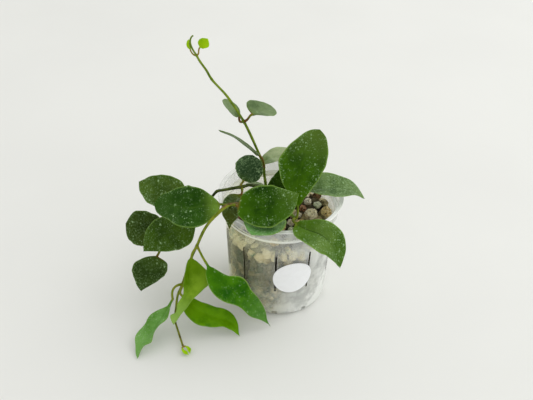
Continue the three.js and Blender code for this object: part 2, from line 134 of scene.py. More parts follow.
# midrib runs from the base of the blade to its tip, and face is where the middle of the blade
# looks. Where left or right lists (share of the midrib, half width), that margin follows the list,
# and left is on the left of a leaf that is seen from its face with the tip up. A margin without a
# list follows width, belly, which is where the blade is widest, and end, where 0.5 is a round tip
# and 1 a pointed one. cup lifts the margins, wave ripples them, twist is in degrees, fold is how far
# the midrib sinks between the two halves, groove is how deep its groove is beside the usual, curl is
# how far the left margin rolls up, bow shifts the middle of the stalk, and look names the finish.
LEAVES = {
    "leaf_upright_edge_on": dict(
        stem="stem_upright", node=4, width=13, face=(0.42, 0.53, 0.8), end=0.9, cup=0.3, fold=0.4,
        look="olive_speckled",
        midrib=[(-14.5, 16, 94.8), (-23, 17, 102.6), (-31.5, 18.2, 108), (-40.5, 19, 110.8)]),
    "leaf_upright_pale": dict(
        stem="stem_upright", node=4, width=16, face=(0, 0, 1), belly=0.5, look="pale_sheen",
        midrib=[(-13.5, 29.5, 79.5), (-10.5, 30.5, 81.5), (-4, 32, 84), (9.5, 35, 86)]),
    "leaf_upright_middle_right": dict(
        stem="stem_upright", node=7, face=(0.25, 0, 1), look="grey_green",
        left=[(0.05, 5), (0.15, 8.4), (0.35, 10.6), (0.5, 10), (0.65, 8.4), (0.8, 5.9), (0.92, 3.4)],
        right=[(0.05, 1), (0.15, 3.5), (0.3, 6), (0.5, 8), (0.65, 9), (0.8, 8), (0.92, 5)],
        midrib=[(-19.5, 20.5, 122.2), (-13.5, 26.5, 122.3), (-8, 32.5, 121.7)]),
    "leaf_upright_middle_left": dict(
        stem="stem_upright", node=7, width=11, face=(0.55, -0.15, 0.8), end=0.55, bow=(-1.5, 0, -2),
        look="grey_green",
        midrib=[(-27.8, 25.5, 117.3), (-32.6, 27, 122), (-38.3, 29, 127)]),
    "leaflet_top_right": dict(
        stem="stem_upright", node=12, face=(0, -0.8, 0.6), look="lime",
        left=[(0.1, 1.4), (0.25, 2.7), (0.42, 3.1), (0.6, 2.9), (0.8, 2)],
        right=[(0.1, 1.3), (0.3, 2.6), (0.5, 3.5), (0.72, 3.8), (0.88, 2.6)],
        midrib=[(-51, 22, 165.2), (-48.5, 21.5, 168.7), (-46, 21, 171.7)]),
    "leaflet_top_left": dict(
        stem="stem_upright", node=12, width=4, face=(-0.8, -0.3, 0.5), look="lime",
        midrib=[(-56.6, 23, 163.3), (-57.4, 23.5, 166), (-57.4, 24.5, 169.4)]),
    "leaf_left_flat": dict(
        stem="stem_left", node=2, width=11, face=(0, 0.5, 0.87), look="pale_sheen",
        midrib=[(-8.5, 8, 75), (-14.5, 8.5, 77.5), (-22.5, 8.5, 77.5)]),
    "leaf_left_round": dict(
        stem="stem_left", node=5, face=(0, -0.8, 0.6), look="frosted",
        left=margin(3.5, 5.2, 7.3, 8.3, 8.8, 7.8, 6.3, 4.2),
        right=margin(4, 6.1, 8.2, 9.1, 9.3, 8.1, 6.8, 4.7),
        midrib=[(-24, 1, 85), (-22, 3.5, 88.5), (-20.5, 6, 92.5), (-18.5, 10, 99)]),
    "leaf_left_over_rim": dict(
        stem="stem_left", node=5, face=(-0.2, -0.3, 0.9), look="dark_yellow_base",
        left=margin(4, 6, 7, 7, 6.8, 6, 3.5, 1.1),
        right=margin(5.2, 6.6, 6.9, 6.4, 5.3, 4.1, 1.4, 0.6),
        midrib=[(-25, -6.5, 80), (-29, -16, 81.5), (-31, -24.5, 80.5), (-31.5, -29, 76),
                (-30.5, -31, 71)]),
    "leaf_left_back": dict(
        stem="stem_left", node=11, face=(0, -0.7, 0.7), look="olive_speckled",
        left=margin(4, 6.5, 9.5, 10.8, 11.2, 10.3, 7.6, 5),
        right=margin(5.5, 8, 9.9, 10.1, 9.7, 8, 5.9, 2.6),
        midrib=[(-61.5, -4, 72.5), (-70.5, -1, 75.5), (-80, 1, 77.5), (-90.5, 3, 80.5)]),
    "leaf_left_front": dict(
        stem="stem_left", node=11, face=(0, -0.75, 0.65), look="deep_speckled",
        left=margin(3.5, 6.6, 11, 11.4, 10, 7.3, 4.4, 1.9),
        right=margin(3, 5.5, 9.5, 12, 12.7, 11.3, 8.6, 4.5),
        midrib=[(-54, -13, 64.5), (-61, -16.5, 60), (-70.5, -18, 54.5), (-79.5, -19, 48),
                (-87, -20, 42)]),
    "leaf_left_end_round": dict(
        stem="stem_left", node=13, face=(0, -0.8, 0.6), look="dark_plain",
        left=margin(5, 8, 11, 11.8, 12.2, 11.3, 10, 6.9),
        right=margin(5, 8.5, 11.2, 11.1, 11, 10, 8.6, 4.8),
        midrib=[(-79, -8, 44.5), (-84.5, -5, 46.5), (-91.5, -3, 48.5), (-101, -1, 49)]),
    "leaf_left_end_low": dict(
        stem="stem_left", node=13, face=(0, -0.8, 0.6), look="dark_speckled",
        left=margin(7.5, 9.2, 10.1, 9.8, 7.5, 4.3, 2.3, 0.9),
        right=margin(2.6, 5.2, 8.7, 11.6, 11.4, 10, 7.3, 4.4),
        midrib=[(-78.3, -20, 38.5), (-81.8, -25, 32.5), (-84.3, -29, 25.5), (-88.3, -33, 19.1)]),
    "leaf_trailing_on_rim": dict(
        stem="stem_trailing", node=2, face=(0, 0, 1), look="rim_speckled",
        left=[(0.1, 6), (0.25, 11), (0.4, 14), (0.55, 15.2), (0.7, 14.2), (0.82, 11), (0.92, 6)],
        right=[(0.1, 5), (0.25, 8.5), (0.4, 10), (0.55, 10.5), (0.7, 10), (0.82, 8), (0.92, 4.5)],
        midrib=[(-8.5, -17, 77.5), (-10.5, -27.5, 79.5), (-13, -36.5, 80.3), (-17.2, -44.8, 79.5)]),
    "leaf_trailing_front": dict(
        stem="stem_trailing", node=5, face=(0, -0.65, 0.76), look="glossy_front",
        left=[(0.05, 7.8), (0.1, 9.9), (0.2, 11.6), (0.3, 12.7), (0.5, 12.8), (0.7, 10.9),
              (0.8, 8.6), (0.9, 4.4), (0.95, 2.2)],
        right=[(0.05, 5), (0.1, 6.5), (0.2, 9.4), (0.4, 12.6), (0.5, 12.7), (0.7, 8.8), (0.8, 6),
               (0.9, 2.8), (0.95, 1.3)],
        midrib=[(-26.3, -28.5, 88), (-19, -31.3, 89), (-9.5, -32, 90.7), (0.8, -31, 93),
                (10.5, -24, 95.3)]),
    "leaf_trailing_out": dict(
        stem="stem_trailing", node=5, face=(0, -0.6, 0.8), fold=2.0, bow=(0, 2, -2.5),
        look="fresh_base",
        left=margin(5.6, 9, 13, 13.8, 11.2, 8.2, 6.8, 4.3),
        right=margin(2.7, 6.1, 11, 13.5, 13.3, 11, 8, 6),
        midrib=[(-36.6, -20, 82.2), (-46, -22, 83), (-57, -22.5, 81.3), (-68, -17.5, 77.8),
                (-79.5, -9.5, 72.8)]),
    "leaf_trailing_twisted": dict(
        stem="stem_trailing", node=11, face=(0, -0.8, 0.6), twist=40, fold=2.2, curl=1.5,
        look="young_folded",
        left=[(0.05, 3), (0.12, 7), (0.25, 13.6), (0.33, 13), (0.4, 10.2), (0.55, 5.6), (0.7, 3.5),
              (0.82, 1.8), (0.92, 1.1)],
        right=[(0.05, 2), (0.12, 3), (0.25, 3.2), (0.4, 2.9), (0.55, 1.5), (0.7, 3), (0.82, 1.8),
               (0.9, 4.3), (0.96, 2.5)],
        midrib=[(-54.5, -32.2, 49.8), (-54.8, -39, 44.5), (-56, -45.5, 37), (-59, -51.5, 28),
                (-64.5, -58, 15.5)]),
    "leaf_trailing_wavy": dict(
        stem="stem_trailing", node=11, face=(0.2, -0.75, 0.6), wave=1.6, fold=1.2,
        look="young_deep",
        left=margin(0.9, 3.1, 6.3, 10.2, 6.9, 5.7, 3.3, 0.6),
        right=margin(1.5, 4.5, 8.1, 8.1, 5.9, 6.3, 3.8, 1.4),
        midrib=[(-45.5, -38.2, 51.5), (-40, -44.5, 46.8), (-34.5, -46.8, 41), (-25.5, -45.7, 32),
                (-16, -44.7, 21.5), (-9, -43.5, 10.8), (-4, -43.5, 1.5)]),
    "leaf_trailing_end_left": dict(
        stem="stem_trailing", node=13, face=(-0.5, -0.3, 0.8), wave=1.3, fold=0.8,
        look="young_cool", bow=(-3.5, 0, 0),
        left=margin(1.1, 2.4, 4.3, 3.8, 5.1, 6.2, 2.8, 1.2),
        right=margin(1, 1.4, 6.6, 7.9, 8.3, 6.9, 3.5, 2.4),
        midrib=[(-66.5, -42, 22), (-70.7, -48.5, 17), (-76.9, -56.5, 11.5), (-83.7, -65, 6.5),
                (-85.8, -73.8, 1.2)]),
    "leaf_trailing_end_right": dict(
        stem="stem_trailing", node=13, face=(0, -0.5, 0.85), wave=1.3, fold=1.2,
        look="young_yellow",
        left=[(0.06, 2), (0.12, 3.2), (0.24, 5.2), (0.35, 6.3), (0.48, 5.7), (0.61, 6), (0.74, 5.4),
              (0.84, 2.7), (0.93, 0.7)],
        right=[(0.06, 3.2), (0.12, 5), (0.24, 7.4), (0.35, 9), (0.48, 7.8), (0.61, 6.2), (0.74, 5.4),
               (0.84, 4.6), (0.93, 2.1)],
        midrib=[(-61.3, -40.5, 24.5), (-57, -43.5, 22.5), (-50.5, -48, 19.5), (-42, -48.5, 15),
                (-32.5, -47, 10.5), (-27, -48.5, 6.5), (-23.5, -53, 1.4)]),
    "leaflet_end_left": dict(
        stem="stem_trailing", node=18, width=2.6, face=(0, -0.3, 1), look="lime",
        midrib=[(-58.9, -65, 2.4), (-57.7, -67.6, 2.2), (-54.2, -69.9, 1.6)]),
    "leaflet_end_right": dict(
        stem="stem_trailing", node=18, width=2.6, face=(0, -0.3, 1), look="lime",
        midrib=[(-57.2, -63.6, 2.4), (-54.9, -65.3, 2.4), (-53.6, -68.8, 1.6)]),
    "leaf_right_tall": dict(
        stem="stem_right", node=6, face=(0, -0.8, 0.6), fold=1.4, look="fresh_speckled",
        left=[(0.05, 1.5), (0.1, 2.8), (0.2, 5.7), (0.35, 10.8), (0.5, 14.1), (0.6, 13.1),
              (0.75, 10), (0.9, 6.1), (0.96, 3.5)],
        right=[(0.05, 2.4), (0.1, 3.8), (0.2, 8), (0.4, 12), (0.6, 13.4), (0.75, 12.3), (0.9, 8.3),
               (0.96, 5.2)],
        midrib=[(9.9, -25.7, 85.3), (9, -17.5, 97), (11.5, -12.5, 108), (16, -6.5, 117.5),
                (21.5, 0, 125.5)]),
    "leaf_right_drooping": dict(
        stem="stem_right", node=6, face=(0.1, -0.45, 0.9), fold=2.4, groove=2.2,
        look="mid_speckled",
        left=[(0.05, 2.6), (0.1, 3.6), (0.2, 5.4), (0.3, 7.3), (0.5, 9.4), (0.6, 9.7), (0.7, 8.4),
              (0.8, 6.7), (0.9, 3.8), (0.95, 2.2)],
        right=[(0.05, 5.3), (0.1, 7.2), (0.2, 9.4), (0.4, 11.5), (0.5, 11.4), (0.6, 10.2), (0.7, 8.2),
               (0.8, 5.6), (0.9, 2.7), (0.95, 1.4)],
        midrib=[(8.6, -35.5, 82), (14.9, -41.5, 83.9), (23, -47.3, 85), (30.9, -50.8, 78.7),
                (35.5, -54, 64)]),
    "leaf_right_back": dict(
        stem="stem_right", node=2, face=(0, -0.1, 1), look="silver_speckled",
        left=margin(4, 8, 12.5, 13.3, 10.7, 8.6, 5.8, 3),
        right=margin(1.5, 2.7, 6.9, 9.3, 9.4, 7, 3.4, 1),
        midrib=[(13.5, -5.5, 82.7), (24, -4.5, 85.6), (34.5, -4, 86.1), (44, -4.2, 84.5),
                (52.5, -5.5, 79)]),
    "leaf_right_shaded": dict(
        stem="stem_right", node=2, face=(0, -0.8, 0.6), look="shaded",
        left=[(0.05, 7), (0.15, 11), (0.3, 12.5), (0.5, 11), (0.7, 8), (0.85, 5), (0.95, 2.5)],
        right=[(0.1, 6), (0.3, 9.5), (0.5, 9.5), (0.7, 8), (0.85, 5.5), (0.95, 3)],
        midrib=[(3.5, 2, 73), (4, 4, 80), (4, 6.5, 87.5), (3, 10, 94)]),
}
LEAF_DEFAULTS = dict(belly=0.42, end=0.8, cup=0.8, wave=0.0, twist=0.0, fold=0.9, groove=1.0,
                     curl=0.0, bow=(0, 0, 0), left=(), right=())
WAVES = 2.5         # ripples along a wavy margin
STALK_STEPS = 14    # rings of points from the stem to the base of the blade

# A stalk is mottled in two colours: olive to reddish brown, green, or yellow-green when young.
STALK = ((0.15, 0.17, 0.015), (0.14, 0.065, 0.018))
GREEN_STALK = ((0.09, 0.14, 0.008), (0.16, 0.19, 0.015))
YOUNG_STALK = ((0.17, 0.24, 0.010), (0.24, 0.27, 0.030))

# A finish: deep and bright mottle the blade, base tints it near its stalk and tip near its end,
# and reach is how far along the blade the tint of the base runs. Where tip is paler than bright,
# it is a painted sheen at the end of the blade. flecks and fine are how densely its large and small
# silver flecks lie, silver is how strong its net of fine silver is, rim is how much paler its margin
# is, rib is how much its midrib takes the colour of vein, and stalk is the two colours of its stalk.
# Left out, tip is bright, vein is base, rib is USUAL_RIB, stalk is STALK, and there is no silver net.
LOOKS = {
    "dark_speckled": dict(
        deep=(0.013, 0.034, 0.003), bright=(0.029, 0.064, 0.008), base=(0.040, 0.080, 0.007),
        reach=0.4, flecks=0.9, fine=1.2, rim=0.3, silver=0.22),
    "deep_speckled": dict(
        deep=(0.013, 0.040, 0.002), bright=(0.038, 0.090, 0.003), base=(0.055, 0.120, 0.003),
        reach=0.5, flecks=0.9, fine=1.2, rim=0.4, silver=0.22),
    # This look's very dark green is painted shade, for the shade under the tall leaf in front of it
    "shaded": dict(
        deep=(0.006, 0.030, 0.0003), bright=(0.020, 0.060, 0.0008), base=(0.020, 0.060, 0.001),
        reach=0.3, flecks=0.4, fine=0.5, rim=0.3),
    "dark_plain": dict(
        deep=(0.012, 0.032, 0.002), bright=(0.034, 0.066, 0.006), base=(0.030, 0.065, 0.003),
        reach=0.4, flecks=0.9, fine=1.1, rim=0.3, silver=0.25),
    "dark_yellow_base": dict(
        deep=(0.022, 0.046, 0.004), bright=(0.048, 0.073, 0.009), base=(0.085, 0.110, 0.008),
        reach=0.26, flecks=0.8, fine=1.0, rim=0.4, silver=0.12, tip=(0.050, 0.066, 0.006)),
    "olive_speckled": dict(
        deep=(0.026, 0.064, 0.005), bright=(0.058, 0.112, 0.012), base=(0.070, 0.130, 0.008),
        reach=0.4, flecks=1.3, fine=1.0, rim=0.4, silver=0.25),
    "mid_speckled": dict(
        deep=(0.034, 0.094, 0.006), bright=(0.095, 0.180, 0.028), base=(0.075, 0.170, 0.006),
        reach=0.5, flecks=0.9, fine=1.3, rim=0.8, tip=(0.050, 0.130, 0.006), stalk=GREEN_STALK,
        silver=0.12, rib=0.9, vein=(0.012, 0.040, 0.002)),
    # This look's pale blade is partly its dense silver flecks and partly a painted sheen of bright
    # light from behind
    "silver_speckled": dict(
        deep=(0.030, 0.078, 0.014), bright=(0.135, 0.225, 0.070), base=(0.070, 0.130, 0.030),
        reach=0.4, flecks=1.7, fine=2.0, rim=0.7, silver=0.60),
    "rim_speckled": dict(
        deep=(0.012, 0.075, 0.006), bright=(0.260, 0.460, 0.140), base=(0.060, 0.170, 0.014),
        reach=0.4, flecks=1.9, fine=1.8, rim=0.8, silver=0.45, tip=(0.090, 0.260, 0.050)),
    "frosted": dict(
        deep=(0.008, 0.032, 0.010), bright=(0.024, 0.058, 0.022), base=(0.030, 0.066, 0.010),
        reach=0.3, flecks=1.5, fine=2.0, rim=0.3, silver=0.5),
    "glossy_front": dict(
        deep=(0.003, 0.030, 0.0002), bright=(0.025, 0.086, 0.0005), base=(0.042, 0.125, 0.001),
        reach=0.35, flecks=0.9, fine=1.2, rim=0.7, tip=(0.062, 0.130, 0.012)),
    "fresh_speckled": dict(
        deep=(0.010, 0.050, 0.0005), bright=(0.037, 0.112, 0.001), base=(0.064, 0.165, 0.001),
        reach=0.45, flecks=0.9, fine=1.1, rim=0.7, tip=(0.080, 0.145, 0.020), stalk=GREEN_STALK),
    # This look's pale base is partly paler fresh tissue near the stalk and partly a painted highlight
    "fresh_base": dict(
        deep=(0.006, 0.040, 0.001), bright=(0.026, 0.086, 0.005), base=(0.160, 0.280, 0.035),
        reach=0.28, flecks=0.9, fine=1.1, rim=0.5, stalk=GREEN_STALK, rib=0.12),
    # This look's pale grey-green is a painted sheen: bright light from behind, caught at a grazing
    # angle
    "pale_sheen": dict(
        deep=(0.120, 0.180, 0.065), bright=(0.370, 0.430, 0.240), base=(0.110, 0.170, 0.040),
        reach=0.3, flecks=0.5, fine=1.0, rim=0.2, silver=0.55),
    # This look's grey is a painted sheen: bright light from behind, caught at a grazing angle
    "grey_green": dict(
        deep=(0.075, 0.125, 0.048), bright=(0.165, 0.235, 0.105), base=(0.090, 0.150, 0.035),
        reach=0.3, flecks=0.15, fine=0.9, rim=0.3),
    "young_yellow": dict(
        deep=(0.044, 0.160, 0.0003), bright=(0.120, 0.300, 0.001), base=(0.120, 0.270, 0.001),
        reach=0.5, flecks=0.0, fine=0.0, rim=0.8, stalk=YOUNG_STALK),
    "young_folded": dict(
        deep=(0.080, 0.185, 0.0010), bright=(0.210, 0.370, 0.020), base=(0.110, 0.230, 0.001),
        reach=0.5, flecks=0.0, fine=0.0, rim=0.8, tip=(0.280, 0.460, 0.100), stalk=YOUNG_STALK),
    "young_deep": dict(
        deep=(0.007, 0.085, 0.0001), bright=(0.058, 0.205, 0.0006), base=(0.050, 0.180, 0.001),
        reach=0.4, flecks=0.7, fine=0.8, rim=1.2, tip=(0.090, 0.230, 0.040), stalk=YOUNG_STALK),
    "young_cool": dict(
        deep=(0.078, 0.230, 0.026), bright=(0.165, 0.370, 0.085), base=(0.090, 0.230, 0.020),
        reach=0.3, flecks=1.7, fine=0.8, rim=0.8, stalk=YOUNG_STALK),
    "lime": dict(
        deep=(0.280, 0.520, 0.002), bright=(0.400, 0.650, 0.006), base=(0.320, 0.500, 0.004),
        reach=0.5, flecks=0.0, fine=0.0, rim=0.0, stalk=((0.30, 0.20, 0.03), (0.24, 0.22, 0.02))),
}
USUAL_RIB = 0.35
FLECK_COLOUR = (0.31, 0.47, 0.23)
RIM_COLOUR = (0.20, 0.34, 0.06)


# ---- Settings ----

def length(name, default, description):
    return bpy.props.FloatProperty(name=name, default=default, description=description, min=0.0)


def colour(name, default, description):
    return bpy.props.FloatVectorProperty(name=name, default=default, description=description,
                                         size=3, subtype="COLOR", min=0.0, max=1.0)


class HoyaPotSettings(bpy.types.PropertyGroup):
    height: length("Height", 77.6, "Height of the pot in millimetres")
    lip_radius: length("Lip radius", 40.0, "Outer radius of the lip in millimetres")
    lip_height: length("Lip height", 1.2, "Thickness of the lip in millimetres")
    collar_top_radius: length("Collar top radius", 38.3, "Collar radius under the lip, in mm")
    collar_radius: length("Collar radius", 37.5, "Collar radius at its step, in millimetres")
    collar_bottom: length("Collar bottom", 67.5, "Height of the collar's step in millimetres")
    shoulder_radius: length("Shoulder radius", 35.9, "Wall radius under the collar, in mm")
    base_radius: length("Base radius", 32.6, "Wall radius carried down to the table, in mm")
    rounding: length("Base rounding", 3.5, "Radius of the rounding at the base, in millimetres")
    wall: length("Wall", 1.0, "Thickness of the wall in millimetres")
    floor: length("Floor", 1.5, "Thickness of the floor in millimetres")
    slots: bpy.props.IntProperty(name="Slots", default=10, min=1,
                                 description="Number of slots around the wall")
    slot_width: length("Slot width", 1.2, "Width of a slot in millimetres")
    slot_bottom: length("Slot bottom", 24.0, "Height of a slot's lower end in millimetres")
    slot_top: length("Slot top", 54.0, "Height of a slot's upper end in millimetres")
    notch_width: length("Notch width", 3.4, "Width of a drain notch in millimetres")
    notch_bottom: length("Notch bottom", 1.6, "Height of a notch's lower edge in millimetres")
    notch_top: length("Notch top", 4.4, "Height of a notch's upper edge in millimetres")
    first_slot: bpy.props.FloatProperty(name="First slot", default=-3.0,
                                        description="Azimuth of one slot from the front, degrees")
    tint: colour("Plastic", (0.93, 0.95, 0.91), "Colour of the frosted plastic")


class HoyaLabelSettings(bpy.types.PropertyGroup):
    diameter: length("Diameter", 25.5, "Diameter of the round label in millimetres")
    thickness: length("Thickness", 0.3, "Thickness of the label in millimetres")
    azimuth: bpy.props.FloatProperty(name="Azimuth", default=15.5,
                                     description="Direction of the label from the front, degrees")
    height: length("Height", 35.2, "Height of the label's middle in millimetres")
    paper: colour("Paper", (0.97, 0.98, 1.0), "Colour of the paper")


class HoyaGritSettings(bpy.types.PropertyGroup):
    top: length("Top", 54.5, "Height of the grit at the wall in millimetres")
    dome: length("Dome", 2.5, "How much higher the grit is in the middle, in millimetres")
    heap: length("Heap", 8.5, "Height of the heap at the back right in millimetres")
    heap_spread: length("Heap spread", 19.0, "How far the heap spreads in millimetres")
    heap_x: length("Heap, across", 24.0, "Place of the heap along X in millimetres")
    heap_y: length("Heap, back", 10.0, "Place of the heap along Y in millimetres")
    grain: length("Grain", 3.2, "Mean radius of a grain in millimetres")
    spacing: length("Spacing", 4.3, "Least distance between grains in millimetres")
    seed: bpy.props.IntProperty(name="Seed", default=7, description="Seed of the random grains")
    # dark is painted shade: the colour of the gaps and of most grains on the open top
    dark: colour("Dark gaps", (0.014, 0.010, 0.007), "Colour of the dark between the grains")


class HoyaLeafSettings(bpy.types.PropertyGroup):
    thickness: length("Thickness", 1.0, "Thickness of a blade at its middle in millimetres")
    petiole: length("Petiole", 0.72, "Radius of a leaf stalk in millimetres")
    along: bpy.props.IntProperty(name="Steps along", default=56, min=8,
                                 description="Number of steps from base to tip")
    across: bpy.props.IntProperty(name="Points across", default=23, min=7,
                                  description="Number of points across one face of the blade")
    groove: length("Groove", 0.45, "Depth of the groove over the midrib in millimetres")
    quilt: length("Quilting", 0.05, "Relief between the side veins in millimetres")


class HoyaStageSettings(bpy.types.PropertyGroup):
    floor: colour("Floor", (0.785, 0.79, 0.76), "Colour of the pale floor")
    key: bpy.props.FloatProperty(name="Key light", default=12.0, min=0.0, unit="POWER",
                                 description="Power of the large soft lamp")
    shade: bpy.props.FloatProperty(name="Darkest side", default=0.77, min=0.0,
                                   description="Strength of the sky on the left")
    bright: bpy.props.FloatProperty(name="Brightest side", default=0.95, min=0.0,
                                    description="Strength of the sky on the right")


# ---- Curves ----

def dense(points, per_span):
    """Points on a centripetal Catmull-Rom curve and how far each is, in spans, from its start."""
    p = np.array(points, float)
    p = np.vstack([2 * p[0] - p[1], p, 2 * p[-1] - p[-2]])
    places, spans = [], []
    for i in range(len(points) - 1):
        a, b, c, d = p[i:i + 4]
        steps = [max(np.linalg.norm(v - u), 1e-9) ** 0.5 for u, v in ((a, b), (b, c), (c, d))]
        leave = ((b - a) / steps[0] - (c - a) / (steps[0] + steps[1]) + (c - b) / steps[1])
        arrive = ((c - b) / steps[1] - (d - b) / (steps[1] + steps[2]) + (d - c) / steps[2])
        leave, arrive = leave * steps[1], arrive * steps[1]
        last = i == len(points) - 2
        for u in np.linspace(0, 1, per_span + 1)[:None if last else -1]:
            places.append(b + leave * u + (-3 * b + 3 * c - 2 * leave - arrive) * u ** 2
                          + (2 * b - 2 * c + leave + arrive) * u ** 3)
            spans.append(i + u)
    return np.array(places), np.array(spans)


def distances(places):
    """How far each point of a polyline is from its start."""
    steps = np.linalg.norm(np.diff(places, axis=0), axis=1)
    return np.concatenate([[0], np.cumsum(steps)])


def resample(places, shares):
    """Points at the given shares of a polyline's length."""
    far = distances(places)
    return np.stack([np.interp(np.array(shares) * far[-1], far, places[:, k])
                     for k in range(3)], axis=1)


def unit(v):
    return v / max(np.linalg.norm(v), 1e-12)


def tangents(places):
    t = np.gradient(places, axis=0)
    return t / np.linalg.norm(t, axis=1, keepdims=True)


def carried(side, tangent):
    """The sideways direction, turned as little as it can be to lie across the tangent."""
    return unit(side - tangent * np.dot(side, tangent))


def bezier(a, b, c, d, count):
    u = np.linspace(0, 1, count)[:, None]
    return (1 - u) ** 3 * a + 3 * u * (1 - u) ** 2 * b + 3 * u ** 2 * (1 - u) * c + u ** 3 * d


def smooth(x):
    x = np.clip(x, 0.0, 1.0)
    return x * x * (3 - 2 * x)


# ---- Meshes ----

def mesh_object(name, vertices, faces):
    """A new object at the origin from vertices in millimetres."""
    mesh = bpy.data.meshes.new(name)
    mesh.from_pydata((np.asarray(vertices, float) * MM).tolist(), [], faces)
    mesh.update()
    piece = bpy.data.objects.new(name, mesh)
    bpy.context.scene.collection.objects.link(piece)
    return piece


def smooth_faces(piece, angle=None):
    piece.data.shade_smooth()
    if angle is not None:
        piece.data.set_sharp_from_angle(angle=math.radians(angle))


def outward_faces(piece):
    bm = bmesh.new()
    bm.from_mesh(piece.data)
    bmesh.ops.recalc_face_normals(bm, faces=bm.faces)
    bm.to_mesh(piece.data)
    bm.free()


def store(piece, name, values):
    """Stores one number for each vertex."""
    attribute = piece.data.attributes.new(name, "FLOAT", "POINT")
    attribute.data.foreach_set("value", np.asarray(values, np.float32))


def ring_faces(rings, sides):
    """Quads between rings of points."""
    faces = []
    for r in range(rings - 1):
        for i in range(sides):
            a, b = r * sides + i, r * sides + (i + 1) % sides
            faces.append((a, b, b + sides, a + sides))
    return faces


def tube_faces(rings, sides):
    """Quads between rings of points, with one face at each end."""
    ends = [tuple(reversed(range(sides))), tuple(range((rings - 1) * sides, rings * sides))]
    return ring_faces(rings, sides) + ends


def plain_mesh(piece):
    """The evaluated mesh of a piece, as a plain mesh of its own."""
    graph = bpy.context.evaluated_depsgraph_get()
    mesh = bpy.data.meshes.new_from_object(piece.evaluated_get(graph))
    mesh.name = piece.name
    return mesh


def finish_piece(piece, material, slot, *nodes):
    """Gives a piece its finish and ties it to the frame."""
    piece.data.materials.clear()
    piece.data.materials.append(material)
    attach(piece, BODY)
    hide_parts(*nodes)


# ---- Shader helpers ----

class Finish:
    """A node material with short ways to add and join nodes."""

    def __init__(self, name):
        self.material = bpy.data.materials.new(name)
        self.material.use_nodes = True
        self.tree = self.material.node_tree
        self.shader = self.tree.nodes["Principled BSDF"]

    def add(self, kind, **settings):
        node = self.tree.nodes.new("ShaderNode" + kind)
        for key, value in settings.items():
            setattr(node, key, value)
        return node

    def put(self, socket, value):
        if isinstance(value, bpy.types.NodeSocket):
            self.tree.links.new(value, socket)
        elif isinstance(value, tuple) and len(value) == 3 and socket.type == "RGBA":
            socket.default_value = (*value, 1.0)
        else:
            socket.default_value = value

    def set(self, **values):
        """Sets the shader's sockets. An underscore stands for a space."""
        for key, value in values.items():
            self.put(self.shader.inputs[key.replace("_", " ")], value)

    def coordinates(self):
        return self.add("TexCoord").outputs["Object"]

    def parts(self, vector):
        """A vector's x, y and z."""
        node = self.add("SeparateXYZ")
        self.put(node.inputs[0], vector)
        return node.outputs

    def attribute(self, name):
        return self.add("Attribute", attribute_name=name).outputs["Fac"]

    def noise(self, scale, detail, vector, roughness=0.5, kind="Fac"):
        node = self.add("TexNoise")
        self.put(node.inputs["Vector"], vector)
        self.put(node.inputs["Scale"], scale)
        self.put(node.inputs["Detail"], detail)
        self.put(node.inputs["Roughness"], roughness)
        return node.outputs[kind]

    def cells(self, scale, vector):
        node = self.add("TexVoronoi")
        self.put(node.inputs["Vector"], vector)
        self.put(node.inputs["Scale"], scale)
        return node

    def math(self, operation, a, b=0.0, clamp=False):
        node = self.add("Math", operation=operation, use_clamp=clamp)
        self.put(node.inputs[0], a)
        self.put(node.inputs[1], b)
        return node.outputs[0]

    def ramp(self, value, low, high, out_low=0.0, out_high=1.0):
        node = self.add("MapRange", interpolation_type="SMOOTHSTEP")
        for key, number in (("Value", value), ("From Min", low), ("From Max", high),
                            ("To Min", out_low), ("To Max", out_high)):
            self.put(node.inputs[key], number)
        return node.outputs["Result"]

    def mix(self, factor, a, b):
        node = self.add("Mix", data_type="RGBA")
        for index, value in ((0, factor), (6, a), (7, b)):
            self.put(node.inputs[index], value)
        return node.outputs[2]

    def band(self, value, low, high, edge, strength=1.0):
        """Strength between low and high, fading out over the edge on both sides."""
        return self.math("MULTIPLY", self.ramp(value, low - edge, low, 0.0, strength),
                         self.ramp(value, high + edge, high))

    def slot_places(self, pot, places):
        """How far a point is from a slot, in metres around the wall, and 1 at a slot's height."""
        x, y, z = self.parts(places)
        step = 2 * math.pi / pot.slots
        azimuth = self.math("ARCTAN2", x, self.math("MULTIPLY", y, -1.0))
        turns = self.math("SUBTRACT", self.math("DIVIDE", azimuth, step),
                          math.radians(pot.first_slot) / step)
        aside = self.math("ABSOLUTE", self.math("SUBTRACT", turns, self.math("ROUND", turns)))
        middle = wall_radius(pot, (pot.slot_bottom + pot.slot_top) / 2)
        return (self.math("MULTIPLY", aside, step * middle * MM),
                self.band(z, pot.slot_bottom * MM, pot.slot_top * MM, 0.001))

    def bump(self, height, distance):
        """Relief from a height, with its depth in millimetres."""
        node = self.add("Bump")
        self.put(node.inputs["Height"], height)
        node.inputs["Distance"].default_value = distance * MM
        node.inputs["Strength"].default_value = 1.0
        self.put(self.shader.inputs["Normal"], node.outputs["Normal"])


# ---- Finishes ----

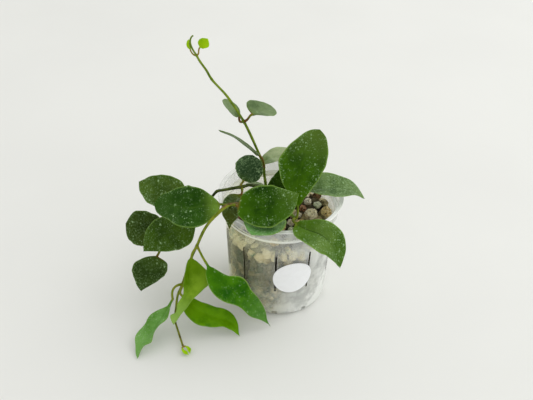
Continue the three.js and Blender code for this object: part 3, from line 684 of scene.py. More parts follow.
def leaf_finish(name, look):
    """A waxy blade: mottled green, silver flecks, a paler underside and a mottled stalk."""
    f = Finish(name)
    places = f.coordinates()
    along, across = f.attribute("along"), f.attribute("across")
    under, stalk = f.attribute("under"), f.attribute("stalk")
    blade = f.mix(f.ramp(f.noise(95, 4, places, 0.6), 0.34, 0.66), look["deep"], look["bright"])
    blade = f.mix(f.ramp(along, look["reach"], 0.0, 0.0, 0.9), blade, look["base"])
    # Where the tip colour is paler than bright, this paints a sheen on the end of the blade
    blade = f.mix(f.ramp(along, 0.45, 1.0, 0.0, 0.9), blade, look.get("tip", look["bright"]))
    rib = f.math("MULTIPLY", f.ramp(across, 0.06, 0.0),
                 f.ramp(along, 0.9, 0.2, 0.0, look.get("rib", USUAL_RIB)))
    blade = f.mix(rib, blade, look.get("vein", look["base"]))
    rim = f.math("MULTIPLY", f.ramp(across, 0.90, 0.99), look["rim"], clamp=True)
    blade = f.mix(rim, blade, RIM_COLOUR)
    top = f.math("SUBTRACT", 1.0, under)
    if look.get("silver"):
        fine_net = f.ramp(f.noise(850, 4, places, 0.7), 0.50, 0.63, 0.0, look["silver"])
        net = f.math("MULTIPLY", fine_net, f.ramp(f.noise(170, 2, places), 0.35, 0.6, 0.35, 1.0))
        blade = f.mix(f.math("MULTIPLY", net, top), blade, tuple(c * 0.75 for c in FLECK_COLOUR))
    # Flecks are warped cells of three sizes. Only some are lit, most of them near margin and tip.
    warp = f.add("VectorMath", operation="MULTIPLY_ADD")
    f.put(warp.inputs[0], f.noise(1100, 2, places, kind="Color"))
    warp.inputs[1].default_value = (0.0018, 0.0018, 0.0018)
    f.put(warp.inputs[2], places)
    crowd = f.math("ADD", f.ramp(across, 0.35, 1.0, 0.0, 0.30), f.ramp(along, 0.3, 1.0, 0.0, 0.22))
    crowd = f.math("ADD", crowd, f.ramp(f.noise(140, 2, places), 0.40, 0.62, 0.0, 0.34))
    fleck = None
    for scale, share, size, strength in ((390, look["flecks"], 0.36, 1.0),
                                         (700, look["flecks"], 0.42, 0.9),
                                         (1300, look["fine"], 0.50, 0.55)):
        if share == 0:
            continue
        cell = f.cells(scale, warp.outputs[0])
        pick = f.add("SeparateColor")
        f.put(pick.inputs[0], cell.outputs["Color"])
        lit = f.ramp(f.math("ADD", pick.outputs[0], f.math("MULTIPLY", crowd, share)), 0.93, 1.12)
        dot = f.ramp(cell.outputs["Distance"], size, size * 0.15)
        depth = f.ramp(pick.outputs[1], 0, 1, 0.35 * strength, strength)
        dot = f.math("MULTIPLY", dot, f.math("MULTIPLY", lit, depth))
        fleck = dot if fleck is None else f.math("MAXIMUM", fleck, dot)
    if fleck is not None:
        fleck = f.math("MULTIPLY", fleck, top)
        blade = f.mix(fleck, blade, FLECK_COLOUR)
    pale = tuple(0.55 * c + 0.45 * p for c, p in zip(look["bright"], (0.20, 0.32, 0.10)))
    blade = f.mix(f.math("MULTIPLY", under, 0.85), blade, pale)
    woody = f.mix(f.ramp(f.noise(300, 2, places), 0.4, 0.6), *look.get("stalk", STALK))
    f.set(Base_Color=f.mix(stalk, blade, woody),
          Roughness=f.ramp(f.noise(260, 3, places), 0.3, 0.7, 0.26, 0.40),
          Specular_IOR_Level=0.13, Specular_Tint=(0.8, 1.0, 0.35), Sheen_Weight=0.02,
          Sheen_Roughness=0.35)
    grain = f.math("ADD", f.noise(1500, 2, places), f.math("MULTIPLY", f.noise(380, 2, places), 2.0))
    if fleck is not None:
        grain = f.math("ADD", grain, f.math("MULTIPLY", fleck, 0.8))
    f.bump(grain, 0.06)
    return f.material


def stem_finish(name, deep, bright):
    """A mottled green skin that turns to bark where it is old or tanned."""
    f = Finish(name)
    places = f.coordinates()
    old = f.attribute("age")
    green = f.mix(f.ramp(f.noise(220, 3, places), 0.35, 0.65), deep, bright)
    brown = f.mix(f.ramp(f.noise(500, 3, places), 0.35, 0.65), (0.055, 0.030, 0.010),
                  (0.17, 0.10, 0.035))
    patch = f.math("ADD", old, f.ramp(f.noise(160, 2, places), 0.5, 0.7, -0.1, 0.35))
    f.set(Base_Color=f.mix(f.ramp(patch, 0.35, 1.0), green, brown),
          Roughness=f.ramp(f.noise(500, 2, places), 0.3, 0.7, 0.42, 0.62), Specular_IOR_Level=0.25,
          Specular_Tint=(0.9, 1.0, 0.6))
    f.bump(f.noise(1300, 3, places), 0.12)
    return f.material


def stone_finish(name, light, dark, spot, pores):
    """A stone with mottled colour, pits and pores darkened as painted shade, and a grainy surface."""
    f = Finish(name)
    places = f.coordinates()
    body = f.mix(f.ramp(f.noise(420, 5, places, 0.7), 0.42, 0.56), dark, light)
    body = f.mix(f.ramp(f.noise(900, 3, places), 0.56, 0.64, 0.0, 0.9), body, spot)
    # Painted shade: the pits, and the pores below, are darkened nearly to black
    body = f.mix(f.ramp(f.attribute("shaded_pit"), 0.1, 0.9), body, tuple(c * 0.12 for c in dark))
    shaded_pit = f.ramp(f.cells(1500, places).outputs["Distance"], 0.42, 0.18)
    shaded_pit = f.math("MULTIPLY", shaded_pit, f.ramp(f.noise(600, 2, places), 0.42, 0.58))
    body = f.mix(f.math("MULTIPLY", shaded_pit, pores), body, tuple(c * 0.2 for c in dark))
    f.set(Base_Color=body, Roughness=0.92, Specular_IOR_Level=0.2)
    height = f.math("SUBTRACT", f.noise(1700, 4, places, 0.7), f.math("MULTIPLY", shaded_pit, 1.4 * pores))
    f.bump(height, 0.8)
    return f.material


def grain_finish(grit, pot):
    """Packed grains in soft patches of tan, cream and slate, with painted shade in slots and gaps."""
    f = Finish("packed grit")
    places = f.coordinates()
    height = f.parts(places)[2]
    grain = f.attribute("grain")
    own = f.math("MULTIPLY", f.math("SUBTRACT", grain, 0.5), 0.14)
    # Tan wins over slate most of all in the top layer, and a little more at the bottom too
    layer = f.math("ADD", f.ramp(height, 0.042, 0.050, -0.01, 0.13),
                   f.ramp(height, 0.018, 0.008, 0.0, 0.04))
    patch = f.ramp(f.math("ADD", f.math("ADD", f.noise(105, 2, places), own), layer), 0.42, 0.58)
    slate = f.mix(f.ramp(f.noise(230, 2, places), 0.38, 0.62), (0.040, 0.085, 0.056),
                  (0.100, 0.180, 0.115))
    tan = f.mix(f.ramp(f.math("ADD", f.noise(190, 2, places), own), 0.38, 0.62),
                (0.36, 0.29, 0.12), (0.68, 0.60, 0.34))
    speck = f.ramp(f.noise(700, 4, places, 0.65), 0.42, 0.62, 0.0, 0.35)
    body = f.mix(speck, f.mix(patch, slate, tan), (0.07, 0.05, 0.028))
    # The middle of the wall is darker
    middle = f.math("MULTIPLY", f.ramp(height, 0.018, 0.026, 0.0, 0.55),
                    f.ramp(height, 0.048, 0.043))
    body = f.mix(middle, body, (0.045, 0.055, 0.018))
    # Painted light: the top layer is lighter behind the wall. Painted shade: the gaps between the
    # grains are olive there, and on the open top the gaps are nearly black, and so are most of the
    # grains.
    level = f.add("VectorMath", operation="MULTIPLY")
    f.put(level.inputs[0], places)
    level.inputs[1].default_value = (1, 1, 0)
    out = f.add("VectorMath", operation="LENGTH")
    f.put(out.inputs[0], level.outputs[0])
    open_top = f.math("MULTIPLY", f.ramp(out.outputs["Value"], 0.031, 0.028),
                      f.ramp(height, (grit.top - 2) * MM, grit.top * MM))
    lit = f.math("MULTIPLY", f.ramp(height, 0.045, 0.051, 0.0, 0.75),
                 f.math("SUBTRACT", 1.0, open_top))
    body = f.mix(lit, body, f.mix(patch, (0.16, 0.30, 0.18), (0.92, 0.82, 0.50)))
    gaps = f.mix(open_top, (0.180, 0.175, 0.095), tuple(grit.dark))
    body = f.mix(f.attribute("core"), body, gaps)
    # Painted shade: most grains on the open top are darkened nearly to black
    top_shade = f.math("MULTIPLY", open_top, f.ramp(grain, 0.80, 0.70, 0.15, 0.85))
    body = f.mix(top_shade, body, tuple(grit.dark))
    # Painted shade: behind each slot the grains are darkened nearly to black
    beside, upright = f.slot_places(pot, places)
    slot_shade = f.math("MULTIPLY", f.ramp(beside, 0.0015, 0.0009), upright)
    body = f.mix(f.math("MULTIPLY", slot_shade, f.ramp(f.noise(180, 2, places), 0.30, 0.55, 0.65, 1.0)),
                 body, (0.012, 0.008, 0.004))
    f.set(Base_Color=body, Roughness=0.9, Specular_IOR_Level=0.2)
    f.bump(f.noise(1300, 4, places, 0.7), 0.6)
    return f.material


def pot_haze(f, pot, places, x, z):
    """How milky the wall is: smeared, streaked, milkier up high, with painted glare and painted
    highlight rims.
    """
    smear = f.ramp(f.noise(45, 3, places, 0.6), 0.38, 0.66, 0.03, 0.12)
    streaks = f.add("Mapping")
    f.put(streaks.inputs["Vector"], places)
    streaks.inputs["Scale"].default_value = (1.0, 1.0, 0.12)
    drip = f.ramp(f.noise(340, 3, streaks.outputs[0]), 0.5, 0.72, 0.0, 0.06)
    edge = f.add("LayerWeight")
    edge.inputs["Blend"].default_value = 0.35
    parts = [smear, drip, f.ramp(edge.outputs["Facing"], 0.35, 1.0, 0.02, 0.34)]
    mottle = f.ramp(f.noise(95, 3, places, 0.6), 0.36, 0.64, 0.55, 1.25)
    # Painted glare: the wall is milkier on the right, less so up by the collar, and at its foot, most
    # on the right. It is also milkier from under the collar up.
    right = f.math("MULTIPLY", f.ramp(x, -0.002, 0.030, 0.0, 0.42),
                   f.ramp(z, 0.066, 0.054, 0.2, 1.0))
    foot_glare = f.math("MULTIPLY", f.ramp(z, 0.036, 0.0), f.ramp(x, -0.030, 0.004, 0.18, 0.31))
    under_collar = f.ramp(z, 0.048, 0.060, 0.0, 0.17)
    parts += [f.math("MULTIPLY", mottle, glare_and_haze) for glare_and_haze in (right, foot_glare, under_collar)]
    # Painted highlights: the pale bands at the lip and the collar's step, with a faint band over the
    # collar, all paler on the right
    lip, collar = pot.height - pot.lip_height / 2, (pot.height + pot.collar_bottom) / 2
    for middle, half, strength in ((lip, 0.6, 0.50), (pot.collar_bottom, 1.0, 0.95),
                                   (collar, 3.6, 0.04)):
        band = f.band(z, (middle - half) * MM, (middle + half) * MM, 0.0004, strength)
        parts.append(f.math("MULTIPLY", band, f.ramp(x, -0.032, 0.010, 0.45, 1.0)))
    return parts


def pot_finish(pot):
    """Clear plastic, milky in places, with painted glare, painted highlights on rims and beside slots,
    and painted shade on slot faces.
    """
    f = Finish("frosted clear plastic")
    places = f.coordinates()
    x, _, z = f.parts(places)
    beside, upright = f.slot_places(pot, places)
    # Painted highlight: the wall beside each slot is a little milkier, a pale line along its edge
    haze = f.math("MULTIPLY", f.band(beside, 0.0005, 0.0009, 0.0004, 0.15), upright)
    for part in pot_haze(f, pot, places, x, z):
        haze = f.math("ADD", haze, part)
    # Painted shade and a painted warm reflection: the lower wall on the left is tinted darker and
    # yellower
    unshaded = f.math("MAXIMUM", f.ramp(x, -0.030, 0.012), f.ramp(z, 0.064, 0.070))
    shade = f.mix(unshaded, tuple(c * t for c, t in zip(pot.tint, (0.98, 0.95, 0.62))),
                  tuple(pot.tint))
    # Painted shade: the cut faces of the slots are dark and nearly opaque
    cut_face_shade = f.math("MULTIPLY", f.ramp(beside, 0.00070, 0.00062), upright)
    haze = f.math("MAXIMUM", f.math("MINIMUM", haze, 0.85), f.math("MULTIPLY", cut_face_shade, 0.9))
    f.set(Base_Color=f.mix(cut_face_shade, shade, (0.030, 0.018, 0.008)), Roughness=0.2,
          Specular_IOR_Level=0.5, Alpha=haze)
    f.bump(f.noise(300, 2, places), 0.03)
    return f.material


def paper_finish(paper):
    f = Finish("label paper")
    places = f.coordinates()
    shade = f.mix(f.ramp(f.noise(240, 3, places), 0.3, 0.7), paper, tuple(c * 0.96 for c in paper))
    f.set(Base_Color=shade, Roughness=0.62, Specular_IOR_Level=0.35)
    f.bump(f.noise(2200, 3, places), 0.02)
    return f.material


def floor_finish(tone):
    f = Finish("pale floor")
    places = f.coordinates()
    shade = f.mix(f.ramp(f.noise(6, 3, places), 0.3, 0.7), tone, tuple(c * 0.975 for c in tone))
    f.set(Base_Color=shade, Roughness=0.6, Specular_IOR_Level=0.2)
    return f.material


# ---- Pot and label ----

def wall_radius(pot, z):
    return pot.base_radius + (pot.shoulder_radius - pot.base_radius) * z / pot.collar_bottom


def around(radius, azimuth, z):
    """A point at a radius and an azimuth in degrees from the front towards +X."""
    a = math.radians(azimuth)
    return (radius * math.sin(a), -radius * math.cos(a), z)


def arc(centre, radius, start, end, steps):
    """(radius, height) points on an arc, with angles in degrees from outwards to upwards."""
    return [(centre[0] + radius * math.cos(math.radians(start + (end - start) * i / steps)),
             centre[1] + radius * math.sin(math.radians(start + (end - start) * i / steps)))
            for i in range(steps + 1)]


def pot_profile(pot):
    """The pot's section, from the axis underneath, round the lip and back to the axis inside."""
    wall, lip_z = pot.wall, pot.height - pot.lip_height / 2
    corner = wall_radius(pot, pot.rounding) - pot.rounding
    outside = [(0, 0.0), (corner * 0.5, 0.0)] + arc((corner, pot.rounding), pot.rounding, -90, 0, 6)
    outside += [(wall_radius(pot, z), z) for z in (12, 20, 32, 44, 56, 62)]
    step = [(pot.shoulder_radius, pot.collar_bottom - 1.2)]
    step += arc((pot.shoulder_radius + 0.5, pot.collar_bottom + 0.1), 1.1, -75, -5, 4)
    collar = [(pot.collar_radius + 0.1, pot.collar_bottom + 2),
              (pot.collar_top_radius, pot.height - 2.6)]
    lip = arc((pot.lip_radius - pot.lip_height / 2, lip_z), pot.lip_height / 2, -90, 90, 6)
    inside = [(pot.collar_top_radius - wall, pot.height - 0.3),
              (pot.collar_radius - wall, pot.collar_bottom + 1.4),
              (pot.shoulder_radius - wall, pot.collar_bottom)]
    inside += [(wall_radius(pot, z) - wall, z) for z in (56, 44, 32, 20, 12)]
    low = wall_radius(pot, 4.5) - wall - 3.0
    inside += arc((low, pot.floor + 3.0), 3.0, 0, -90, 4) + [(low * 0.5, pot.floor), (0, pot.floor)]
    return outside + step + collar + lip + inside


def lathe(profile, sides):
    """Vertices and faces of a profile turned round the axis. It starts and ends on the axis."""
    rings = profile[1:-1]
    vertices = [around(r, 360 * i / sides, z) for r, z in rings for i in range(sides)]
    low, high = len(vertices), len(vertices) + 1
    vertices += [(0, 0, profile[0][1]), (0, 0, profile[-1][1])]
    faces = ring_faces(len(rings), sides)
    top = (len(rings) - 1) * sides
    for i in range(sides):
        j = (i + 1) % sides
        faces += [(low, j, i), (high, top + i, top + j)]
    return vertices, faces


def slot_cutters(pot):
    """One mesh of all the blocks that cut the slots and the drain notches."""
    vertices, faces = [], []
    reach = 4.0
    for i in range(pot.slots):
        azimuth = pot.first_slot + 360 * i / pot.slots
        for width, low, high in ((pot.slot_width, pot.slot_bottom, pot.slot_top),
                                 (pot.notch_width, pot.notch_bottom, pot.notch_top)):
            out = np.array(around(1, azimuth, 0))
            side = np.array([-out[1], out[0], 0]) * width / 2
            middle = wall_radius(pot, (low + high) / 2)
            first = len(vertices)
            for z in (low, high):
                for s, r in ((-1, -reach), (1, -reach), (1, reach), (-1, reach)):
                    vertices.append(out * (middle + r) + side * s + np.array([0, 0, z]))
            quads = ((0, 3, 2, 1), (4, 5, 6, 7), (0, 1, 5, 4), (1, 2, 6, 5), (2, 3, 7, 6), (3, 0, 4, 7))
            faces += [tuple(first + k for k in quad) for quad in quads]
    return mesh_object("slot_cutters", vertices, faces)


class HOYA_OT_pot(bpy.types.Operator):
    """Turns the clear pot and cuts its slots and drain notches"""
    bl_idname = "hoya.pot"
    bl_label = "Pot"

    def execute(self, context):
        settings = context.scene.hoya_pot
        pot = mesh_object("pot_shell", *lathe(pot_profile(settings), 192))
        outward_faces(pot)
        cutters = slot_cutters(settings)
        outward_faces(cutters)
        cut = pot.modifiers.new("slots", "BOOLEAN")
        cut.operation, cut.object, cut.solver = "DIFFERENCE", cutters, "EXACT"
        pot.data = plain_mesh(pot)
        pot.modifiers.clear()
        bpy.data.objects.remove(cutters)
        smooth_faces(pot, 35)
        finish_piece(pot, pot_finish(settings), "pot_plastic", "pot")
        return {"FINISHED"}


class HOYA_OT_label(bpy.types.Operator):
    """Lays the blank round label on the wall"""
    bl_idname = "hoya.label"
    bl_label = "Label"

    def execute(self, context):
        label, pot = context.scene.hoya_label, context.scene.hoya_pot
        rings, steps, gap, bevel = 7, 72, 0.08, 0.06
        radius = label.diameter / 2
        vertices = []
        for lift in (gap, gap + label.thickness):
            for ring in range(rings + 1):
                r = radius * ring / rings
                if ring == rings and lift > gap:
                    r -= bevel
                for i in range(steps if ring else 1):
                    a = 2 * math.pi * i / steps
                    up, across = r * math.sin(a), r * math.cos(a)
                    height = label.height + up
                    # Its edge has come off the wall a little at the upper right
                    corner = (across + up) / radius / 1.41
                    curl = 0.25 * max(0, corner - 0.72) ** 1.5 * 3
                    turn = math.degrees(across / wall_radius(pot, label.height))
                    vertices.append(around(wall_radius(pot, height) + lift + curl,
                                           label.azimuth + turn, height))
        layer = 1 + rings * steps

        def spot(side, ring, i):
            """The number of a vertex, where ring 0 is the middle."""
            return side * layer + (0 if ring == 0 else 1 + (ring - 1) * steps + i % steps)

        faces = []
        for side in (0, 1):
            for ring in range(rings):
                for i in range(steps):
                    quad = [spot(side, ring, i), spot(side, ring + 1, i),
                            spot(side, ring + 1, i + 1), spot(side, ring, i + 1)]
                    if ring == 0:
                        quad.pop()
                    faces.append(tuple(quad if side else reversed(quad)))
        for i in range(steps):
            faces.append((spot(0, rings, i), spot(0, rings, i + 1),
                          spot(1, rings, i + 1), spot(1, rings, i)))
        piece = mesh_object("blank_label", vertices, faces)
        outward_faces(piece)
        smooth_faces(piece, 40)
        finish_piece(piece, paper_finish(tuple(label.paper)), "sticker_paper", "label_sticker")
        return {"FINISHED"}


# ---- Grit ----

class Tree:
    """A geometry node tree with short ways to add and join nodes."""

    def __init__(self, name):
        self.tree = bpy.data.node_groups.new(name, "GeometryNodeTree")
        self.inputs = {}
        self.entry = self.tree.nodes.new("NodeGroupInput")
        self.exit = self.tree.nodes.new("NodeGroupOutput")

    def socket(self, name, kind, default=None, output=False):
        made = self.tree.interface.new_socket(
            name=name, in_out="OUTPUT" if output else "INPUT", socket_type="NodeSocket" + kind)
        if default is not None:
            made.default_value = default
        self.inputs[name] = made.identifier

    def given(self, name):
        return self.entry.outputs[name]

    def add(self, kind, settings=None, **sockets):
        node = self.tree.nodes.new(kind)
        for key, value in (settings or {}).items():
            setattr(node, key, value)
        for key, value in sockets.items():
            self.put(node.inputs[key.replace("_", " ")], value)
        return node

    def put(self, socket, value):
        if isinstance(value, bpy.types.NodeSocket):
            self.tree.links.new(value, socket)
        else:
            socket.default_value = value

    def number(self, operation, a, b):
        node = self.add("ShaderNodeMath", {"operation": operation})
        self.put(node.inputs[0], a)
        self.put(node.inputs[1], b)
        return node.outputs[0]

    def vector(self, operation, a, b):
        node = self.add("ShaderNodeVectorMath", {"operation": operation})
        self.put(node.inputs[0], a)
        self.put(node.inputs[1], b)
        return node.outputs[0]

    def modifier(self, piece, **values):
        """Adds the tree to a piece, with its inputs set by their identifiers."""
        made = piece.modifiers.new(self.tree.name, "NODES")
        made.node_group = self.tree
        for key, value in values.items():
            made[self.inputs[key.replace("_", " ")]] = value


def grain_tree():
    """Scatters lumpy grains over a surface, pressed flat against the pot's inside.

    The surface stays as a core behind them, which its finish paints dark as the shade between the
    grains.
    """
    t = Tree("Packed grit")
    t.socket("Geometry", "Geometry")
    t.socket("Spacing", "Float", 0.004)
    t.socket("Grain", "Float", 0.003)
    t.socket("Base radius", "Float", 0.03)
    t.socket("Flare", "Float", 0.05)
    t.socket("Floor", "Float", 0.002)
    t.socket("Seed", "Int", 7)
    t.socket("Material", "Material")
    t.socket("Result", "Geometry", output=True)
    shapes = []
    for number in range(5):
        ball = t.add("GeometryNodeMeshIcoSphere", Radius=1.0, Subdivisions=2)
        lump = t.add("ShaderNodeTexNoise", {"noise_dimensions": "4D"}, W=float(3 * number),
                     Scale=0.9, Detail=1.0)
        centred = t.vector("SUBTRACT", lump.outputs["Color"], (0.5, 0.5, 0.5))
        moved = t.add("GeometryNodeSetPosition", Geometry=ball.outputs["Mesh"],
                      Offset=t.vector("MULTIPLY", centred, (1.5, 1.5, 1.2)))
        shapes.append(t.add("GeometryNodeGeometryToInstance", Geometry=moved.outputs[0]).outputs[0])
    pool = t.add("GeometryNodeJoinGeometry")
    for shape in reversed(shapes):
        t.tree.links.new(shape, pool.inputs[0])
    spread = t.add("GeometryNodeDistributePointsOnFaces", {"distribute_method": "POISSON"},
                   Mesh=t.given("Geometry"), Distance_Min=t.given("Spacing"),
                   Density_Max=120000.0, Seed=t.given("Seed"))
    pick = t.add("FunctionNodeRandomValue", {"data_type": "INT"}, Seed=1)
    pick.inputs["Min"].default_value, pick.inputs["Max"].default_value = 0, len(shapes) - 1
    spin = t.add("FunctionNodeRandomValue", {"data_type": "FLOAT_VECTOR"}, Seed=2)
    spin.inputs["Max"].default_value = (6.28, 6.28, 6.28)
    size = t.add("FunctionNodeRandomValue", {"data_type": "FLOAT"}, Seed=3)
    size.inputs[2].default_value, size.inputs[3].default_value = 0.65, 1.3
    scale = t.number("MULTIPLY", size.outputs["Value"], t.given("Grain"))
    places = t.add("GeometryNodeInstanceOnPoints", {}, Points=spread.outputs["Points"],
                   Instance=pool.outputs[0], Pick_Instance=True,
                   Instance_Index=pick.outputs["Value"], Rotation=spin.outputs["Value"],
                   Scale=scale)
    tone = t.add("FunctionNodeRandomValue", {"data_type": "FLOAT"}, Seed=4)
    marked = t.add("GeometryNodeStoreNamedAttribute", {"data_type": "FLOAT", "domain": "INSTANCE"},
                   Geometry=places.outputs[0], Name="grain", Value=tone.outputs[1])
    real = t.add("GeometryNodeRealizeInstances", Geometry=marked.outputs[0])
    # A point past the wall's inside is moved in to it, and one under the floor is moved up
    here = t.add("GeometryNodeInputPosition").outputs[0]
    apart = t.add("ShaderNodeSeparateXYZ")
    t.put(apart.inputs[0], here)
    height = t.number("MAXIMUM", apart.outputs[2], t.given("Floor"))
    room = t.number("ADD", t.given("Base radius"), t.number("MULTIPLY", height, t.given("Flare")))
    level = t.vector("MULTIPLY", here, (1, 1, 0))
    out = t.add("ShaderNodeVectorMath", {"operation": "LENGTH"})
    t.put(out.inputs[0], level)
    shrink = t.number("MINIMUM", t.number("DIVIDE", room, out.outputs["Value"]), 1.0)
    inside = t.add("ShaderNodeVectorMath", {"operation": "SCALE"})
    t.put(inside.inputs[0], level)
    t.put(inside.inputs["Scale"], shrink)
    upright = t.add("ShaderNodeCombineXYZ")
    t.put(upright.inputs[2], height)
    pressed = t.add("GeometryNodeSetPosition", Geometry=real.outputs[0],
                    Position=t.vector("ADD", inside.outputs[0], upright.outputs[0]))
    core = t.add("GeometryNodeStoreNamedAttribute", {"data_type": "FLOAT", "domain": "POINT"},
                 Geometry=t.given("Geometry"), Name="core", Value=1.0)
    both = t.add("GeometryNodeJoinGeometry")
    t.tree.links.new(core.outputs[0], both.inputs[0])
    t.tree.links.new(pressed.outputs[0], both.inputs[0])
    shaded = t.add("GeometryNodeSetShadeSmooth", Geometry=both.outputs[0])
    last = t.add("GeometryNodeSetMaterial", Geometry=shaded.outputs[0], Material=t.given("Material"))
    t.put(t.exit.inputs[0], last.outputs[0])
    return t


def grit_height(grit, pot, x, y):
    """How high the grit reaches: domed, a little lumpy, and piled up at the back right."""
    dome = grit.dome * (1 - (x * x + y * y) / pot.base_radius ** 2)
    lump = math.sin(0.55 * x + 1) * math.cos(0.6 * y) + 0.6 * math.sin(0.9 * x - 0.8 * y)
    heap = grit.heap * math.exp(-((x - grit.heap_x) ** 2 + (y - grit.heap_y) ** 2)
                                / grit.heap_spread ** 2)
    return grit.top + dome + lump + heap


class HOYA_OT_grit(bpy.types.Operator):
    """Packs the pot with grains behind its wall and over its top"""
    bl_idname = "hoya.grit"
    bl_label = "Packed grit"

    def execute(self, context):
        grit, pot = context.scene.hoya_grit, context.scene.hoya_pot
        side_room, top_room, gap = grit.grain * 0.95, grit.grain * 0.8, 0.15
        low = pot.floor + grit.grain

        def edge(z):
            return wall_radius(pot, z) - pot.wall - side_room

        profile = [(0, low), (edge(low) - 2.5, low), (edge(low + 2.5), low + 2.5)]
        profile += [(edge(z), z) for z in (14, 22, 30, 38, 45)]
        profile += [(edge(grit.top) * share, grit.top)
                    for share in (1, 0.88, 0.76, 0.64, 0.52, 0.40, 0.28, 0.15, 0)]
        vertices, faces = lathe(profile, 64)
        vertices = [(x, y, z if z < grit.top else grit_height(grit, pot, x, y) - top_room)
                    for x, y, z in vertices]
        core = mesh_object("packed_grit", vertices, faces)
        outward_faces(core)
        material = grain_finish(grit, pot)
        flare = (pot.shoulder_radius - pot.base_radius) / pot.collar_bottom
        tree = grain_tree()
        tree.modifier(core, Spacing=grit.spacing * MM, Grain=grit.grain * MM, Seed=grit.seed,
                      Base_radius=(pot.base_radius - pot.wall - gap) * MM, Flare=flare,
                      Floor=(pot.floor + gap) * MM, Material=material)
        core.data = plain_mesh(core)
        core.modifiers.clear()
        finish_piece(core, material, "grit", "growing_medium")
        return {"FINISHED"}


# A kind of loose stone: light, dark and spot colours, how porous it is, and how craggy its outline.
STONES = {
    "cream": ((0.97, 0.91, 0.66), (0.80, 0.70, 0.42), (0.34, 0.22, 0.09), 0.9, 1.1),
    "tan": ((0.90, 0.72, 0.34), (0.62, 0.44, 0.17), (0.93, 0.82, 0.52), 0.9, 1.2),
    "grey": ((0.68, 0.72, 0.50), (0.26, 0.30, 0.16), (0.80, 0.82, 0.63), 0.6, 0.6),
    "brown": ((0.26, 0.15, 0.065), (0.09, 0.05, 0.022), (0.46, 0.31, 0.15), 0.8, 1.1),
    "rust": ((0.42, 0.22, 0.11), (0.17, 0.08, 0.04), (0.52, 0.37, 0.24), 0.8, 1.0),
    "olive": ((0.45, 0.39, 0.20), (0.15, 0.13, 0.055), (0.62, 0.56, 0.34), 0.8, 1.0),
    "white": ((0.97, 0.93, 0.76), (0.76, 0.68, 0.48), (0.34, 0.26, 0.16), 0.7, 0.9),
}
# The kind of each loose stone, in the order of their names
STONE_KINDS = """
    cream brown grey white tan olive cream rust white cream tan brown cream
    white tan grey olive cream brown grey cream tan rust olive white
""".split()


def stone_mesh(name, low, high, craggy):
    """A pitted lump that fills the box from low to high, with its pits marked for painted shade."""
    centre, half = (low + high) / 2, (high - low) / 2
    dice = random.Random(name)
    drift = Vector([dice.uniform(-9, 9) for _ in range(3)])
    bm = bmesh.new()
    bmesh.ops.create_icosphere(bm, subdivisions=5, radius=1.0)
    pits = []
    for v in bm.verts:
        lump = noise.noise(v.co * 1.2 + drift) * 0.20
        ridge = abs(noise.noise(v.co * 2.2 + drift)) * -0.22 * craggy
        grain = noise.fractal(v.co * 5 + drift, 0.8, 2.1, 4) * 0.055 * craggy
        near = noise.voronoi(v.co * 2.6 + drift)[0][0]
        patch = smooth(noise.noise(v.co * 1.7 - drift) * 3 + 0.6)
        shaded_pit = float(smooth((0.42 - near) / 0.24)) * float(patch)
        pits.append(shaded_pit)
        v.co *= 1.0 + lump + ridge + grain - 0.16 * shaded_pit * craggy
    reach = [max(abs(v.co[k]) for v in bm.verts) for k in range(3)]
    for v in bm.verts:
        v.co = Vector([v.co[k] / reach[k] * half[k] for k in range(3)]) + centre
    mesh = bpy.data.meshes.new(name)
    bm.to_mesh(mesh)
    bm.free()
    piece = bpy.data.objects.new(name, mesh)
    bpy.context.scene.collection.objects.link(piece)
    store(piece, "shaded_pit", pits)
    return piece


class HOYA_OT_pebbles(bpy.types.Operator):
    """Shapes each loose stone where the frame has one"""
    bl_idname = "hoya.pebbles"
    bl_label = "Loose stones"

    def execute(self, context):
        finishes = {kind: stone_finish(kind + " stone", *look[:4]) for kind, look in STONES.items()}
        names = sorted(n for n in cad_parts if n.startswith("pebble"))
        for number, name in enumerate(names):
            kind = STONE_KINDS[number % len(STONE_KINDS)]
            piece = stone_mesh(name + "_stone", *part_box(name), STONES[kind][4])
            smooth_faces(piece)
            finish_piece(piece, finishes[kind], "grit", name)
        return {"FINISHED"}


# ---- Stems ----

NODE_SWELLING = 0.30    # how much thicker a stem is at a node, as a share of its radius
SCAR_SWELLING = 0.16


def stem_shape(stem):
    """The centre line of a stem, how far each point is in spans, and its plain radius there."""
    places, spans = dense(stem["path"], 14)
    share = spans / (len(stem["path"]) - 1)
    first, last = stem["radii"]
    return places, spans, first + (last - first) * share


